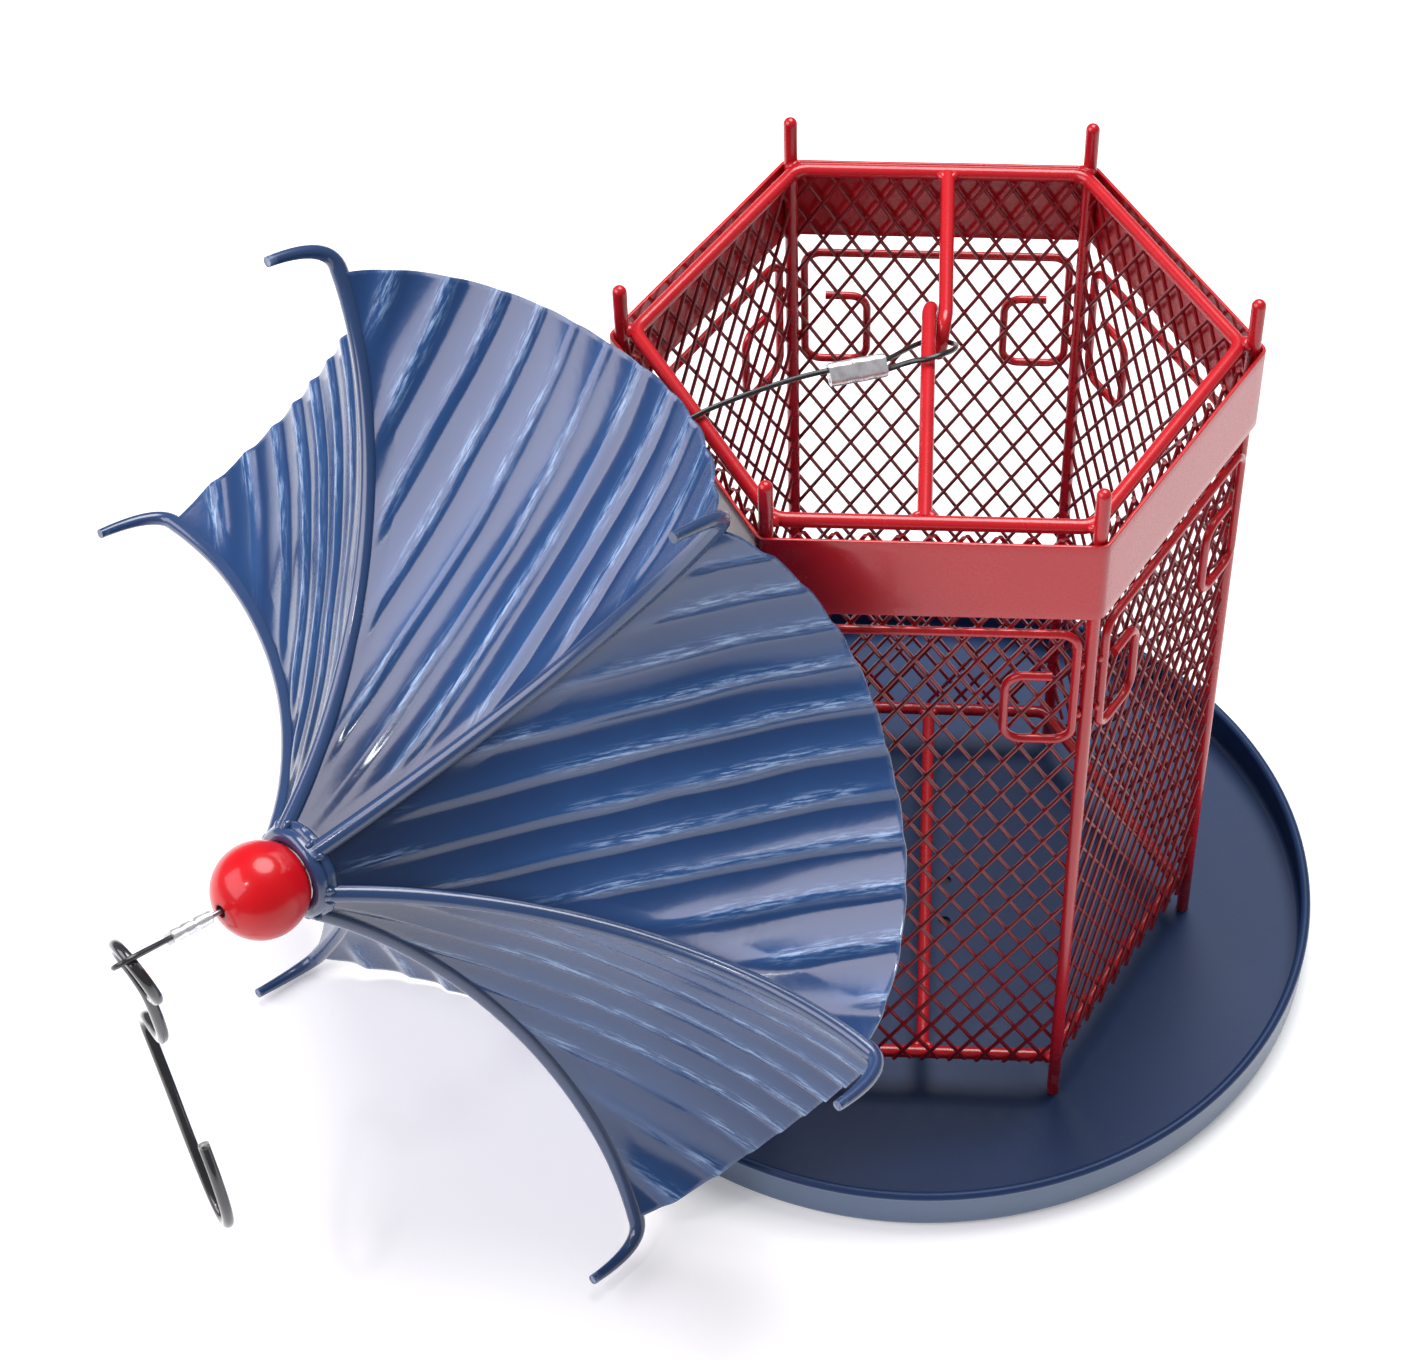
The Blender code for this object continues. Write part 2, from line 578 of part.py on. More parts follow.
def make_roof(sheet_paint, ball_paint, silver):
    turn, centre, raised, _ = roof_places()
    hinge = bpy.data.objects.new("roof_hinge", None)
    bpy.context.collection.objects.link(hinge)
    hinge.matrix_world = Matrix.Translation(centre) @ turn
    top = Matrix.Translation(raised - centre)
    bm = bmesh.new()
    grid = []
    for row in range(PANEL_ROWS + 1):
        line = [panel_point(row / PANEL_ROWS, column * 2 / PANEL_COLUMNS - 1) for column in range(PANEL_COLUMNS + 1)]
        grid.append([bm.verts.new(point) for point in line])
    for upper, lower in zip(grid, grid[1:]):
        for column in range(PANEL_COLUMNS):
            bm.faces.new((upper[column], lower[column], lower[column + 1], upper[column + 1]))
    panel_mesh = mesh_data("roof_panel", bm)
    ribs, thickness = rib_points()
    rib = rod("roof_rib", ribs, RIB_DIAMETER, thickness=thickness)
    for index in range(FACES):
        rib_turn = Matrix.Rotation(index * FACE_ANGLE, 4, "Z")
        sheet_turn = Matrix.Rotation(index * FACE_ANGLE + HALF_FACE_ANGLE, 4, "Z")
        place(f"roof_rib_{index + 1}", rib, sheet_paint, top @ rib_turn, hinge)
        panel = place(f"roof_panel_{index + 1}", panel_mesh, sheet_paint, top @ sheet_turn, hinge)
        wall = panel.modifiers.new("wall", "SOLIDIFY")
        wall.thickness = ROOF_SHEET
        wall.offset = 0
    collar_profile = arc((COLLAR_RING_RADIUS, COLLAR_RISE), COLLAR_WIRE / 2, 0, math.tau, 8)[:-1]
    place("roof_collar", turned("roof_collar", collar_profile, 16, closed=True), sheet_paint, top, hinge)
    ball_radius = BALL_DIAMETER / 2
    mouth = math.asin(BALL_BORE / BALL_DIAMETER)
    ball_profile = arc((0, 0), ball_radius, math.pi / 2 - mouth, mouth - math.pi / 2, 10)
    ball = turned("finial_ball", ball_profile, 20, closed=True)
    place("finial_ball", ball, ball_paint, top @ Matrix.Translation(UP * ball_rise()), hinge)
    spin = Matrix.Rotation(UPPER_FERRULE_TURN, 4, "Z")
    middle = upper_ferrule_rise() + UPPER_FERRULE_LENGTH / 2
    ferrule_place = top @ spin @ Matrix.Translation((STRAND_SPACING / 2, 0, middle))
    make_ferrule("upper_ferrule", UPPER_FERRULE_LENGTH, silver, ferrule_place, hinge)
    return hinge.matrix_world @ top


def make_ferrule(name, length, material, matrix, parent=None):
    """A pressed double sleeve with a bore for each strand, along Z about its middle."""
    end_radius = FERRULE_THICKNESS / 2
    end_reach = FERRULE_WIDTH / 2 - end_radius
    outline = arc((end_reach, 0), end_radius, -math.pi / 2, math.pi / 2, 4)
    outline += arc((-end_reach, 0), end_radius, math.pi / 2, 1.5 * math.pi, 4)
    bm = bmesh.new()
    flat = [bm.faces.new([bm.verts.new((x, y, -length / 2)) for x, y in outline])]
    grown = bmesh.ops.extrude_face_region(bm, geom=flat)["geom"]
    raised = [item for item in grown if isinstance(item, bmesh.types.BMVert)]
    bmesh.ops.translate(bm, verts=raised, vec=UP * length)
    ferrule = place(name, mesh_data(name, bm), material, matrix, parent)
    bpy.context.view_layer.update()
    bore = CABLE_DIAMETER / 2 + GAP
    reach = length / 2 + CUT_OVERRUN
    drill = turned("drill", [(0, -reach), (bore, -reach), (bore, reach), (0, reach)], 8)
    strands = [(drill, Matrix.Translation((side * STRAND_SPACING / 2, 0, 0))) for side in (-1, 1)]
    make_cutter(name + "_bores", strands, ferrule)


def lower_ferrule_frame():
    """The middle of the lower ferrule, Z along it and X towards the bore that holds the cable's tail."""
    return axes_matrix(LOWER_FERRULE_CENTRE, LOWER_FERRULE_LINE_shares, LOWER_FERRULE_ACROSS_shares)


def make_cable(roof_top, material):
    """One cable: tail, eye round the pigtail, over the ring, up the roof, loop for the hook, and tail again."""
    ferrule = lower_ferrule_frame()
    half_length = LOWER_FERRULE_LENGTH / 2
    bore = STRAND_SPACING / 2
    tail = [ferrule @ Vector((bore, 0, end)) for end in (half_length, 0, -half_length)]
    main_bore = [ferrule @ Vector((-bore, 0, end)) for end in (-half_length, 0, half_length)]
    eye = [Vector(point) for point in CABLE_EYE]
    crossing = [Vector(point) for point in CABLE_CROSSING]
    loop_turn = Matrix.Rotation(UPPER_FERRULE_TURN, 4, "Z")
    axis_rise = upper_ferrule_rise()
    axis_end = axis_rise + UPPER_FERRULE_LENGTH
    along = [(0, 0, -CABLE_ENTRY), (0, 0, 0), (0, 0, axis_rise), (0, 0, axis_end)]
    back = [(STRAND_SPACING, 0, axis_end), (STRAND_SPACING, 0, axis_rise)]
    top_points = [roof_top @ loop_turn @ Vector(point) for point in along + list(CABLE_LOOP) + back]
    knots = tail + eye + main_bore + crossing + top_points
    sleeved = tail + main_bore + top_points[2:4] + top_points[-2:]
    counts = []
    for start, end in zip(knots, knots[1:]):
        pieces = max(CABLE_PIECES, round((end - start).length / CABLE_STEP))
        counts.append(1 if start in sleeved and end in sleeved else pieces)
    route = smooth_route(knots, counts)
    place("hanging_cable", rod("hanging_cable", route, CABLE_DIAMETER), material)


def make_hook(roof_top, material):
    """One bent wire: a ring hung on the cable's loop, a neck, a kink and the bowl."""
    axis = (roof_top.to_3x3() @ UP).normalized()
    hang = roof_top.translation + axis * HOOK_REACH + UP * HOOK_LIFT
    across = Vector((math.cos(HOOK_RING_AZIMUTH), math.sin(HOOK_RING_AZIMUTH), 0))
    beside = UP.cross(across)
    down = beside * math.sin(HOOK_RING_LEAN) - UP * math.cos(HOOK_RING_LEAN)
    radius = HOOK_RING_DIAMETER / 2
    centre = down * radius
    ring = [centre + across * x - down * y
            for x, y in arc((0, 0), radius, HOOK_RING_START, HOOK_RING_END, HOOK_RING_STEPS)]
    neck_end = centre + down * radius - UP * HOOK_NECK + beside * HOOK_NECK_OFFSET
    neck_top = centre + down * radius
    neck = [neck_top.lerp(neck_end, share) + across * x * radius for x, share in HOOK_NECK_shares]
    body_across = Vector((math.cos(HOOK_BODY_AZIMUTH), math.sin(HOOK_BODY_AZIMUTH), 0))
    body = [neck_end + (body_across * p - UP * q) * HOOK_BOWL_WIDTH for p, q in HOOK_BODY_shares]
    path = ring + smooth_route([ring[-1]] + neck + body, [2] * (len(neck) + len(body)))[1:]
    place("hook", rod("hook", path, HOOK_WIRE), material, Matrix.Translation(hang))


def main():
    clear_scene()
    red = finish_material("red_powder_coat", (0.62, 0.03, 0.03), 0.35, 0.0)
    blue = finish_material("blue_powder_coat", (0.07, 0.11, 0.26), 0.35, 0.0)
    steel = finish_material("zinc_screw", (0.62, 0.62, 0.62), 0.4, 1.0)
    silver = finish_material("ferrule_metal", (0.80, 0.80, 0.81), 0.3, 1.0)
    black = finish_material("black_gloss", (0.02, 0.02, 0.022), 0.2, 0.0)
    ball_red = finish_material("ball_gloss_red", (0.68, 0.02, 0.03), 0.12, 0.0)
    make_tray(blue)
    make_posts(red)
    make_post_screws(steel)
    make_rings(red)
    make_cross_bars(red)
    make_band(red)
    make_mesh_panels(red)
    make_frets(red)
    roof_top = make_roof(blue, ball_red, silver)
    make_ferrule("lower_ferrule", LOWER_FERRULE_LENGTH, silver, lower_ferrule_frame())
    make_cable(roof_top, black)
    make_hook(roof_top, black)


main()
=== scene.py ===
"""Hanging bird feeder, dressed: wire cage on a round tray, and its pagoda roof laid beside it on the cable.

Metres. Pieces are modelled where the solids stand, and each rides on the body of the solid that it stands for.
"""
import math

import bmesh
import bpy
from mathutils import Matrix, Quaternion, Vector, noise


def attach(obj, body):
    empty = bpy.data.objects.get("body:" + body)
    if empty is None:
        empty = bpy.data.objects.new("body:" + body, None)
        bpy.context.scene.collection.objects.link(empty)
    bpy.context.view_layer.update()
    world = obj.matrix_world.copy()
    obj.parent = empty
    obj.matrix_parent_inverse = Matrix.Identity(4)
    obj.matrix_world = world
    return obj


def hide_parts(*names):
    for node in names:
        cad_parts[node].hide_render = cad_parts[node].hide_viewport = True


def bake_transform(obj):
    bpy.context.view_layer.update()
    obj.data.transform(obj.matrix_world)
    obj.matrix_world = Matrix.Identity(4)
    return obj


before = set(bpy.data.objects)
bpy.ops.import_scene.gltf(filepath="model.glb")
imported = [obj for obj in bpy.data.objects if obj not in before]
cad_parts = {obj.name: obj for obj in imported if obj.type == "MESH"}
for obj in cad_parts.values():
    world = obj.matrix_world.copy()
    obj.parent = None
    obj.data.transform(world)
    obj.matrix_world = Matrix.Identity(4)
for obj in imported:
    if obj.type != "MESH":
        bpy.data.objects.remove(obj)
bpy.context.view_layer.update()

GAP = 0.0003
MERGE_DISTANCE = 0.000002
UP = Vector((0, 0, 1))

# Tray
TRAY_RADIUS = 0.1245
TRAY_SHEET = 0.0012
TRAY_HEIGHT = 0.0160
TRAY_BEND_RADIUS = 0.0030
TRAY_BEAD_DIAMETER = 0.0030
TRAY_BEAD_OVERHANG = 0.0004
TRAY_FLOOR_RING = 0.0600
COUNTERSINK_TIP = 0.0007
DRAIN_DIAMETER = 0.0040
DRAIN_CIRCLE_RADIUS = 0.0120
DRAINS = 4

# Cage
FACES = 6
FACE_ANGLE = math.tau / FACES
HALF_FACE = FACE_ANGLE / 2
POST_CIRCLE_RADIUS = 0.0850
POST_RADIUS = 0.0020
POST_BOTTOM = 0.0015
POST_TOP = 0.2575
POST_CROWN = 0.0022
SCREW_RADIUS = 0.0010
SCREW_HEAD_RADIUS = 0.0019
SCREW_HEAD_HEIGHT = 0.0009
SCREW_LENGTH = 0.0095
SCREW_EDGE = 0.0001
SCREW_NECK = 0.0005
SCREW_POINT = 0.0013
SLOT_BLADE = (0.0026, 0.0006, 0.0010)
ROD = 0.0040
RING_BEND_RADIUS = 0.0060
RING_CORNER_RADIUS = 0.0747
RING_PLANE = RING_CORNER_RADIUS * math.cos(HALF_FACE) + RING_BEND_RADIUS
TOP_RING_LEVEL = 0.2417
BOTTOM_RING_LEVEL = 0.0152
PIGTAIL_DIAMETER = 0.0120
PIGTAIL_SPREAD = 0.0045
PIGTAIL_OFFSET = 0.0100
BOTTOM_BAR_OFFSET = 0.0020
BAND_SHEET = 0.0010
BAND_TOP = 0.2405
BAND_BOTTOM = 0.2137
BAND_HOLLOW = 0.00022
BAND_EDGE_ROUND = 0.00028
MESH_PLANE = 0.07364
MESH_WIRE = 0.0012
MESH_HALF_WIDTH = 0.0409
MESH_LOW = 0.0158
MESH_HIGH = 0.2400
MESH_PATTERN_LEVEL = 0.12685
MESH_UNCUT_LENGTH = 0.30
DIAMOND_WIDTH = 0.00835
DIAMOND_HEIGHT = 0.0134
FRET_WIRE = 0.0025
FRET_PLANE = 0.07584
FRET_TOP = 0.2072
FRET_FOOT = 0.1662
FRET_CURL = 0.1909
FRET_SIDE = 0.0389
FRET_FOOT_WIDTH = 0.0185
FRET_CURL_WIDTH = 0.0123
FRET_BEND_RADIUS = 0.0050
CAGE_WELD = 0.0016
FRET_WELD_LEVELS = (FRET_TOP - 0.0120, FRET_FOOT + 0.0100)
RING_WELD_RISE = 0.0006
WELD_RISE = 0.0004

# Roof
ROOF_CORNER_RADIUS = 0.1457
ROOF_DROP = 0.0666
ROOF_SHEET = 0.0008
EAVE_SAG = 0.0308
EAVE_BULGE = 0.0032
SAG_POWER = 2.4
BULGE_POWER = 7.2
RIB = 0.0050
RIB_TIP = 0.0030
RIB_START = Vector((0.0127, 0, 0.0026))
RIB_ROOT = Vector((0.0115, 0, 0.0040))
RIB_TIP_REACH = 0.0088
RIB_TIP_RISE = 0.0210
RIB_WAVER = 0.00012
RIB_CURVE_shares = ((0.329, 0.653), (0.732, 1.036))
PANEL_TOP_RADIUS = 0.0118
GROOVE_PITCH = 0.0125
GROOVE_DEPTH = 0.0013
GROOVE_FALL_share = 0.68
GROOVE_LINE = 0.0015
FLAT_AT_RIB = 0.0060
FLAT_AT_COLLAR = 0.0200
SHEET_DENT = 0.0006
SHEET_EDGE_ROUND = 0.00022
COLLAR_RING_RADIUS = 0.0109
COLLAR_WIRE = 0.0044
COLLAR_RISE = 0.0048
COLLAR_WAVER = 0.00022
COLLAR_SEAT_DEPTH = 0.00018
COLLAR_SEAT_WIDTH = 0.0012
SEAM_RADIUS = 0.0121
SEAM_WIDTH = 0.0038
SEAM_RISE = 0.0021
SEAM_LUMP = 0.00045
ROOF_WELD = 0.0011
ROOF_WELD_PLACE = Vector((0.0134, 0.0019, 0.0040))
BALL_RADIUS = 0.0135
BALL_RISE = 0.01651
BALL_BORE = 0.0034
BALL_BORE_ROUND = 0.0003
ROOF_TOP = Matrix.Translation((-0.1652605, -0.1110017, 0.1469013)) @ (
    Matrix.Rotation(math.radians(-132.45), 4, "Z") @ Matrix.Rotation(math.radians(78.73), 4, "Y")
    @ Matrix.Rotation(math.radians(91.63), 4, "Z"))
ROOF_AXIS = (ROOF_TOP.to_3x3() @ UP).normalized()

# Cable, ferrules and hook
CABLE = 0.0015
STRAND_SPACING = 0.0026
FERRULE_THICKNESS = 0.0039
FERRULE_LIP = 0.00035
FERRULE_WAIST = 0.0009
LOWER_FERRULE_LENGTH = 0.0160
UPPER_FERRULE_LENGTH = 0.0126
UPPER_FERRULE_RISE = 0.0345
UPPER_FERRULE_TURN = Matrix.Rotation(math.radians(51.3), 4, "Z")
LOWER_FERRULE_CENTRE = Vector((-0.0210, -0.0135, 0.2418))
LOWER_FERRULE_LINE = Vector((-0.9354, -0.3501, 0.0500))
LOWER_FERRULE_ACROSS = Vector((0.2170, -0.6797, -0.7006))
CABLE_EYE = (
    (-0.0090, -0.0112, 0.2422), (-0.0055, -0.0120, 0.2443), (-0.0022, -0.0123, 0.2453), (0.0012, -0.0105, 0.2453),
    (0.0040, -0.0065, 0.2432), (0.0052, -0.0010, 0.2398), (0.0046, 0.0042, 0.2362), (0.0012, 0.0074, 0.2343),
    (-0.0030, 0.0063, 0.2349), (-0.0085, -0.0015, 0.2386), (-0.0115, -0.0070, 0.2412),
)
CABLE_CROSSING = (
    (-0.0400, -0.0215, 0.2443), (-0.0612, -0.0354, 0.2453), (-0.0685, -0.0402, 0.2430), (-0.0765, -0.0452, 0.2355),
    (-0.0940, -0.0565, 0.2070), (-0.1160, -0.0700, 0.1700), (-0.1350, -0.0822, 0.1475),
)
CABLE_ENTRY = 0.0200
CABLE_STEP = 0.0020
CABLE_LOOP = (
    (-0.00005, 0, 0.0530), (0, 0, 0.0580), (0.00005, 0, 0.0620), (0.0010, 0, 0.0645), (0.0035, 0, 0.0655),
    (0.0060, 0, 0.0645), (0.0070, 0, 0.0620), (0.0066, 0, 0.0580), (0.0046, 0, 0.0530), (0.0030, 0, 0.0495),
)
HOOK_WIRE = 0.0033
HOOK_RING_RADIUS = 0.0090
HOOK_NECK = 0.0200
HOOK_NECK_OFFSET = 0.0013
HOOK_BOWL_WIDTH = 0.0214
HOOK_REACH = 0.0603
HOOK_LIFT = 0.0029
HOOK_RING_AZIMUTH = math.radians(-48.2)
HOOK_RING_LEAN = math.radians(11.3)
HOOK_BODY_AZIMUTH = math.radians(-58.0)
HOOK_NECK_shares = ((-0.18, 0.13), (-0.02, 0.40))
HOOK_BODY_shares = (
    (0, 0.000), (-0.120, 0.250), (-0.420, 0.400), (-0.740, 0.520), (-0.925, 0.850), (-0.700, 1.180),
    (-0.383, 1.598), (0.075, 2.290), (0.589, 2.813), (0.888, 2.921), (1.120, 2.780), (1.192, 2.383),
    (1.051, 1.893), (0.790, 1.435),
)

# Studio
CAMERA_PLACE = (-0.0061, -0.6664, 0.8288)
CAMERA_YAW = 0.0490950
CAMERA_PITCH = 0.8330490
CAMERA_ROLL = -0.0103543
CAMERA_LENS = 82.87
CAMERA_SHIFT_X = -0.0593
CAMERA_SHIFT_Y = 0.0154
PAPER_SIZE = 6
PAPER_LEVEL = -0.0002
PAPER_SHADE_OUTSIDE = 0.119
PAPER_SHADE_INSIDE = 0.116


# Paint and metal

class Value:
    """One output of a shader node. Python's operators on it add Math nodes."""

    def __init__(self, finish, socket):
        self.finish = finish
        self.socket = socket

    def sum_of(self, operation, *terms):
        return self.finish.node("ShaderNodeMath", {"operation": operation}, *terms)["Value"]

    def __add__(self, other):
        return self.sum_of("ADD", self, other)

    __radd__ = __add__

    def __sub__(self, other):
        return self.sum_of("SUBTRACT", self, other)

    def __rsub__(self, other):
        return self.sum_of("SUBTRACT", other, self)

    def __mul__(self, other):
        return self.sum_of("MULTIPLY", self, other)

    __rmul__ = __mul__

    def between(self, low, high):
        """0 below low, 1 above high, and smooth from one to the other."""
        settings = {"interpolation_type": "SMOOTHSTEP"}
        return self.finish.node("ShaderNodeMapRange", settings, Value=self, From_Min=low, From_Max=high)["Result"]


class Node:
    """A shader node whose outputs are read by name."""

    def __init__(self, finish, node):
        self.finish = finish
        self.node = node

    def __getitem__(self, name):
        return Value(self.finish, self.node.outputs[name])


class Finish:
    """A material being mixed: its nodes, its place on the piece, and its surface shader."""

    def __init__(self, name, metallic=0.0, coat=0.0, coat_roughness=0.1, specular=0.5):
        self.material = bpy.data.materials.new(name)
        self.material.use_nodes = True
        self.tree = self.material.node_tree
        self.shader = self.tree.nodes["Principled BSDF"]
        for socket, number in (("Metallic", metallic), ("Coat Weight", coat), ("Coat Roughness", coat_roughness),
                               ("Specular IOR Level", specular)):
            self.shader.inputs[socket].default_value = number
        self.place = self.node("ShaderNodeTexCoord")["Object"]

    def fill(self, socket, value):
        if isinstance(value, Value):
            self.tree.links.new(value.socket, socket)
        elif isinstance(value, tuple) and len(value) == 3 and len(socket.default_value) == 4:
            socket.default_value = (*value, 1.0)
        else:
            socket.default_value = value

    def node(self, kind, settings=None, *values, **named):
        made = self.tree.nodes.new(kind)
        for key, setting in (settings or {}).items():
            setattr(made, key, setting)
        for index, value in enumerate(values):
            self.fill(made.inputs[index], value)
        for key, value in named.items():
            self.fill(made.inputs[key.replace("_", " ")], value)
        return Node(self, made)

    def grain(self, scale, detail=2.0, roughness=0.5, along=None, warp=0.0):
        """Noise from 0 to 1, about scale lumps to the metre."""
        return self.node("ShaderNodeTexNoise", None, Vector=along or self.place, Scale=scale, Detail=detail,
                         Roughness=roughness, Distortion=warp)["Fac"]

    def stretched(self, x, y, z):
        return self.node("ShaderNodeMapping", None, Vector=self.place, Scale=(x, y, z))["Vector"]

    def mark(self, name):
        return self.node("ShaderNodeAttribute", {"attribute_name": name})["Fac"]

    def blend(self, share, first, second, way="MIX"):
        mix = self.tree.nodes.new("ShaderNodeMix")
        mix.data_type = "RGBA"
        mix.blend_type = way
        for index, value in ((0, share), (6, first), (7, second)):
            self.fill(mix.inputs[index], value)
        return Value(self, mix.outputs[2])

    def finish(self, colour, roughness, height, depth):
        bump = self.node("ShaderNodeBump", None, Height=height, Distance=depth, Strength=1.0)["Normal"]
        for socket, value in (("Base Color", colour), ("Roughness", roughness), ("Normal", bump)):
            self.fill(self.shader.inputs[socket], value)
        return self.material


def powder_coat(name, deep, bright, worn, gloss, coat, specular=0.5):
    """Baked paint: an orange-peel skin, clouds of tone, specks of dust, and pale wear on edges."""
    mix = Finish(name, coat=coat, coat_roughness=0.10, specular=specular)
    peel = mix.grain(700, 1.0) * 0.7 + mix.grain(1800, 1.0) * 0.3
    cloud = mix.grain(22, 4.0, 0.6, warp=0.6)
    dust = mix.grain(1500, 2.0, 0.7).between(0.66, 0.74) * mix.grain(60, 2.0).between(0.50, 0.70)
    rub = mix.mark("worn_edge") * mix.grain(260, 4.0, 0.7).between(0.45, 0.65)
    colour = mix.blend(cloud, deep, bright)
    colour = mix.blend(dust * 0.15, colour, worn)
    colour = mix.blend(rub * 0.5, colour, worn)
    roughness = cloud * 0.10 + peel * 0.04 + rub * 0.15 + gloss
    return mix.finish(colour, roughness, peel - rub * 0.6, 0.00003)


def roof_paint():
    """Paint on pressed sheet: painted shade in the grooves and near the collar, dimpled, with pale hairs at the
    crests that are partly wear and partly painted highlight.
    """
    mix = Finish("roof_powder_coat", coat=0.65, coat_roughness=0.12, specular=0.40)
    peel = mix.grain(500, 2.0)
    dimple = mix.grain(110, 3.0, 0.55, warp=0.4)
    cloud = mix.grain(30, 4.0, 0.6, warp=0.8)
    crest = mix.mark("groove_crest")
    line = mix.mark("groove_line")
    on_sheet = mix.node("ShaderNodeAttribute", {"attribute_name": "sheet_place"})["Vector"]
    slanted = mix.node("ShaderNodeMapping", None, Vector=on_sheet, Rotation=(0, 0, 0.30),
                       Scale=(150, 1400, 1))["Vector"]
    # Pale hairs along the crest lines: partly paint wear and partly painted highlight.
    hairs = mix.grain(1.0, 3.0, 0.65, along=slanted).between(0.44, 0.66)
    hair_wear_and_highlight = hairs * mix.mark("hair_patches_wear_and_highlight").between(0.30, 0.80)
    rub = mix.mark("worn_edge") * mix.grain(300, 4.0, 0.7).between(0.35, 0.55)
    # Painted shade and painted light: the random clouds vary the tone, and the crest mark runs the colour from dark
    # in the grooves to bright on the crests.
    colour = mix.blend(cloud * 0.4 + crest * 0.6, (0.006, 0.030, 0.108), (0.020, 0.082, 0.240))
    # Painted shade near the collar: within a few centimetres of the axis the sheet colour turns almost black.
    from_axis = mix.node("ShaderNodeSeparateXYZ", None, on_sheet)["X"]
    colour = mix.blend(from_axis.between(0.065, 0.014) * 0.75, colour, (0.003, 0.010, 0.036))
    colour = mix.blend(line * hair_wear_and_highlight * 0.85, colour, (0.30, 0.46, 0.70))
    colour = mix.blend(rub * 0.7, colour, (0.42, 0.52, 0.72))
    roughness = cloud * 0.08 + line * hair_wear_and_highlight * 0.15 + rub * 0.2 + 0.16
    return mix.finish(colour, roughness, peel * 0.7 + dimple * 1.6 + hair_wear_and_highlight * line * 0.8, 0.00006)


def ball_paint():
    mix = Finish("ball_lacquer", coat=0.50, coat_roughness=0.13, specular=0.15)
    cloud = mix.grain(60, 3.0, 0.6)
    flow = mix.grain(180, 1.0)
    scuff = mix.grain(700, 4.0, 0.8, along=mix.stretched(1, 5, 1)).between(0.66, 0.72)
    colour = mix.blend(cloud, (0.50, 0.002, 0.006), (0.62, 0.004, 0.010))
    colour = mix.blend(mix.mark("worn_edge") * 0.8 + scuff * 0.1, colour, (0.06, 0.004, 0.004))
    return mix.finish(colour, cloud * 0.06 + scuff * 0.15 + 0.36, flow, 0.00004)


def pressed_metal(name, tone, gloss, metallic=1.0):
    mix = Finish(name, metallic=metallic)
    draw = mix.grain(500, 4.0, 0.7, along=mix.stretched(1, 1, 0.12))
    stain = mix.grain(260, 3.0, 0.6)
    edge = mix.mark("worn_edge")
    dark = tuple(part * 0.55 for part in tone)
    colour = mix.blend(stain.between(0.45, 0.75) * 0.6, tone, dark)
    colour = mix.blend(edge * 0.5, colour, (0.95, 0.95, 0.95))
    return mix.finish(colour, draw * 0.25 + stain * 0.1 + gloss, draw + stain * 0.5, 0.00005)


def cable_coat():
    """Black plastic over twisted steel: the strands show as fine slanted ridges, and bare steel shows at the ball."""
    mix = Finish("cable_coat", coat=0.3, coat_roughness=0.2)
    twist = mix.node("ShaderNodeUVMap")["UV"]
    waves = mix.node("ShaderNodeTexWave", {"wave_type": "BANDS", "bands_direction": "DIAGONAL"},
                     Vector=mix.node("ShaderNodeMapping", None, Vector=twist, Scale=(2.0, 2.0, 1.0))["Vector"],
                     Scale=1.0, Distortion=0.0)["Fac"]
    bare = mix.mark("bare_steel")
    dust = mix.grain(900, 3.0, 0.7).between(0.50, 0.75)
    colour = mix.blend(dust * 0.5, (0.010, 0.010, 0.011), (0.045, 0.045, 0.048))
    colour = mix.blend(bare, colour, (0.45, 0.45, 0.46))
    mix.fill(mix.shader.inputs["Metallic"], bare)
    return mix.finish(colour, dust * 0.2 + 0.32, waves, 0.00012)


def hook_paint():
    mix = Finish("hook_enamel", coat=0.8, coat_roughness=0.06)
    sag = mix.grain(240, 2.0)
    cloud = mix.grain(90, 3.0, 0.6)
    chip = mix.mark("worn_edge") * mix.grain(800, 3.0, 0.7).between(0.40, 0.60)
    colour = mix.blend(cloud, (0.008, 0.008, 0.009), (0.028, 0.028, 0.030))
    colour = mix.blend(chip, colour, (0.30, 0.30, 0.31))
    return mix.finish(colour, cloud * 0.12 + chip * 0.2 + 0.14, sag, 0.00010)


RED_WORN = (0.62, 0.20, 0.20)
BLUE_WORN = (0.34, 0.44, 0.62)
RED = powder_coat("red_powder_coat_skin", (0.430, 0.006, 0.012), (0.560, 0.010, 0.018), RED_WORN, 0.20, 0.32, 0.4)
# A darker copy of the red paint for the mesh wires: painted shade inside the cage.
MESH_RED_PAINTED_SHADE = powder_coat("mesh_powder_coat_painted_shade", (0.160, 0.003, 0.008), (0.280, 0.006, 0.012), RED_WORN, 0.26, 0.2)
BLUE = powder_coat("blue_powder_coat_skin", (0.015, 0.040, 0.112), (0.026, 0.060, 0.160), BLUE_WORN, 0.18, 0.6)
TRAY_BLUE = powder_coat("tray_powder_coat", (0.010, 0.028, 0.088), (0.014, 0.038, 0.116), BLUE_WORN, 0.32, 0.05, 0.22)
# A lighter copy of the tray paint for the outer wall: a painted reflection of the white floor.
WALL_BLUE_PAINTED_SHEEN = powder_coat("tray_wall_painted_sheen", (0.040, 0.084, 0.172), (0.060, 0.114, 0.214), (0.10, 0.15, 0.24),
                        0.34, 0.45)
ROOF_BLUE = roof_paint()
BALL_RED = ball_paint()
FERRULE = pressed_metal("ferrule_alloy", (0.94, 0.94, 0.96), 0.12, 0.8)
ZINC = pressed_metal("zinc_plate", (0.62, 0.62, 0.60), 0.28)
CABLE_BLACK = cable_coat()
HOOK_BLACK = hook_paint()


# Ways of making

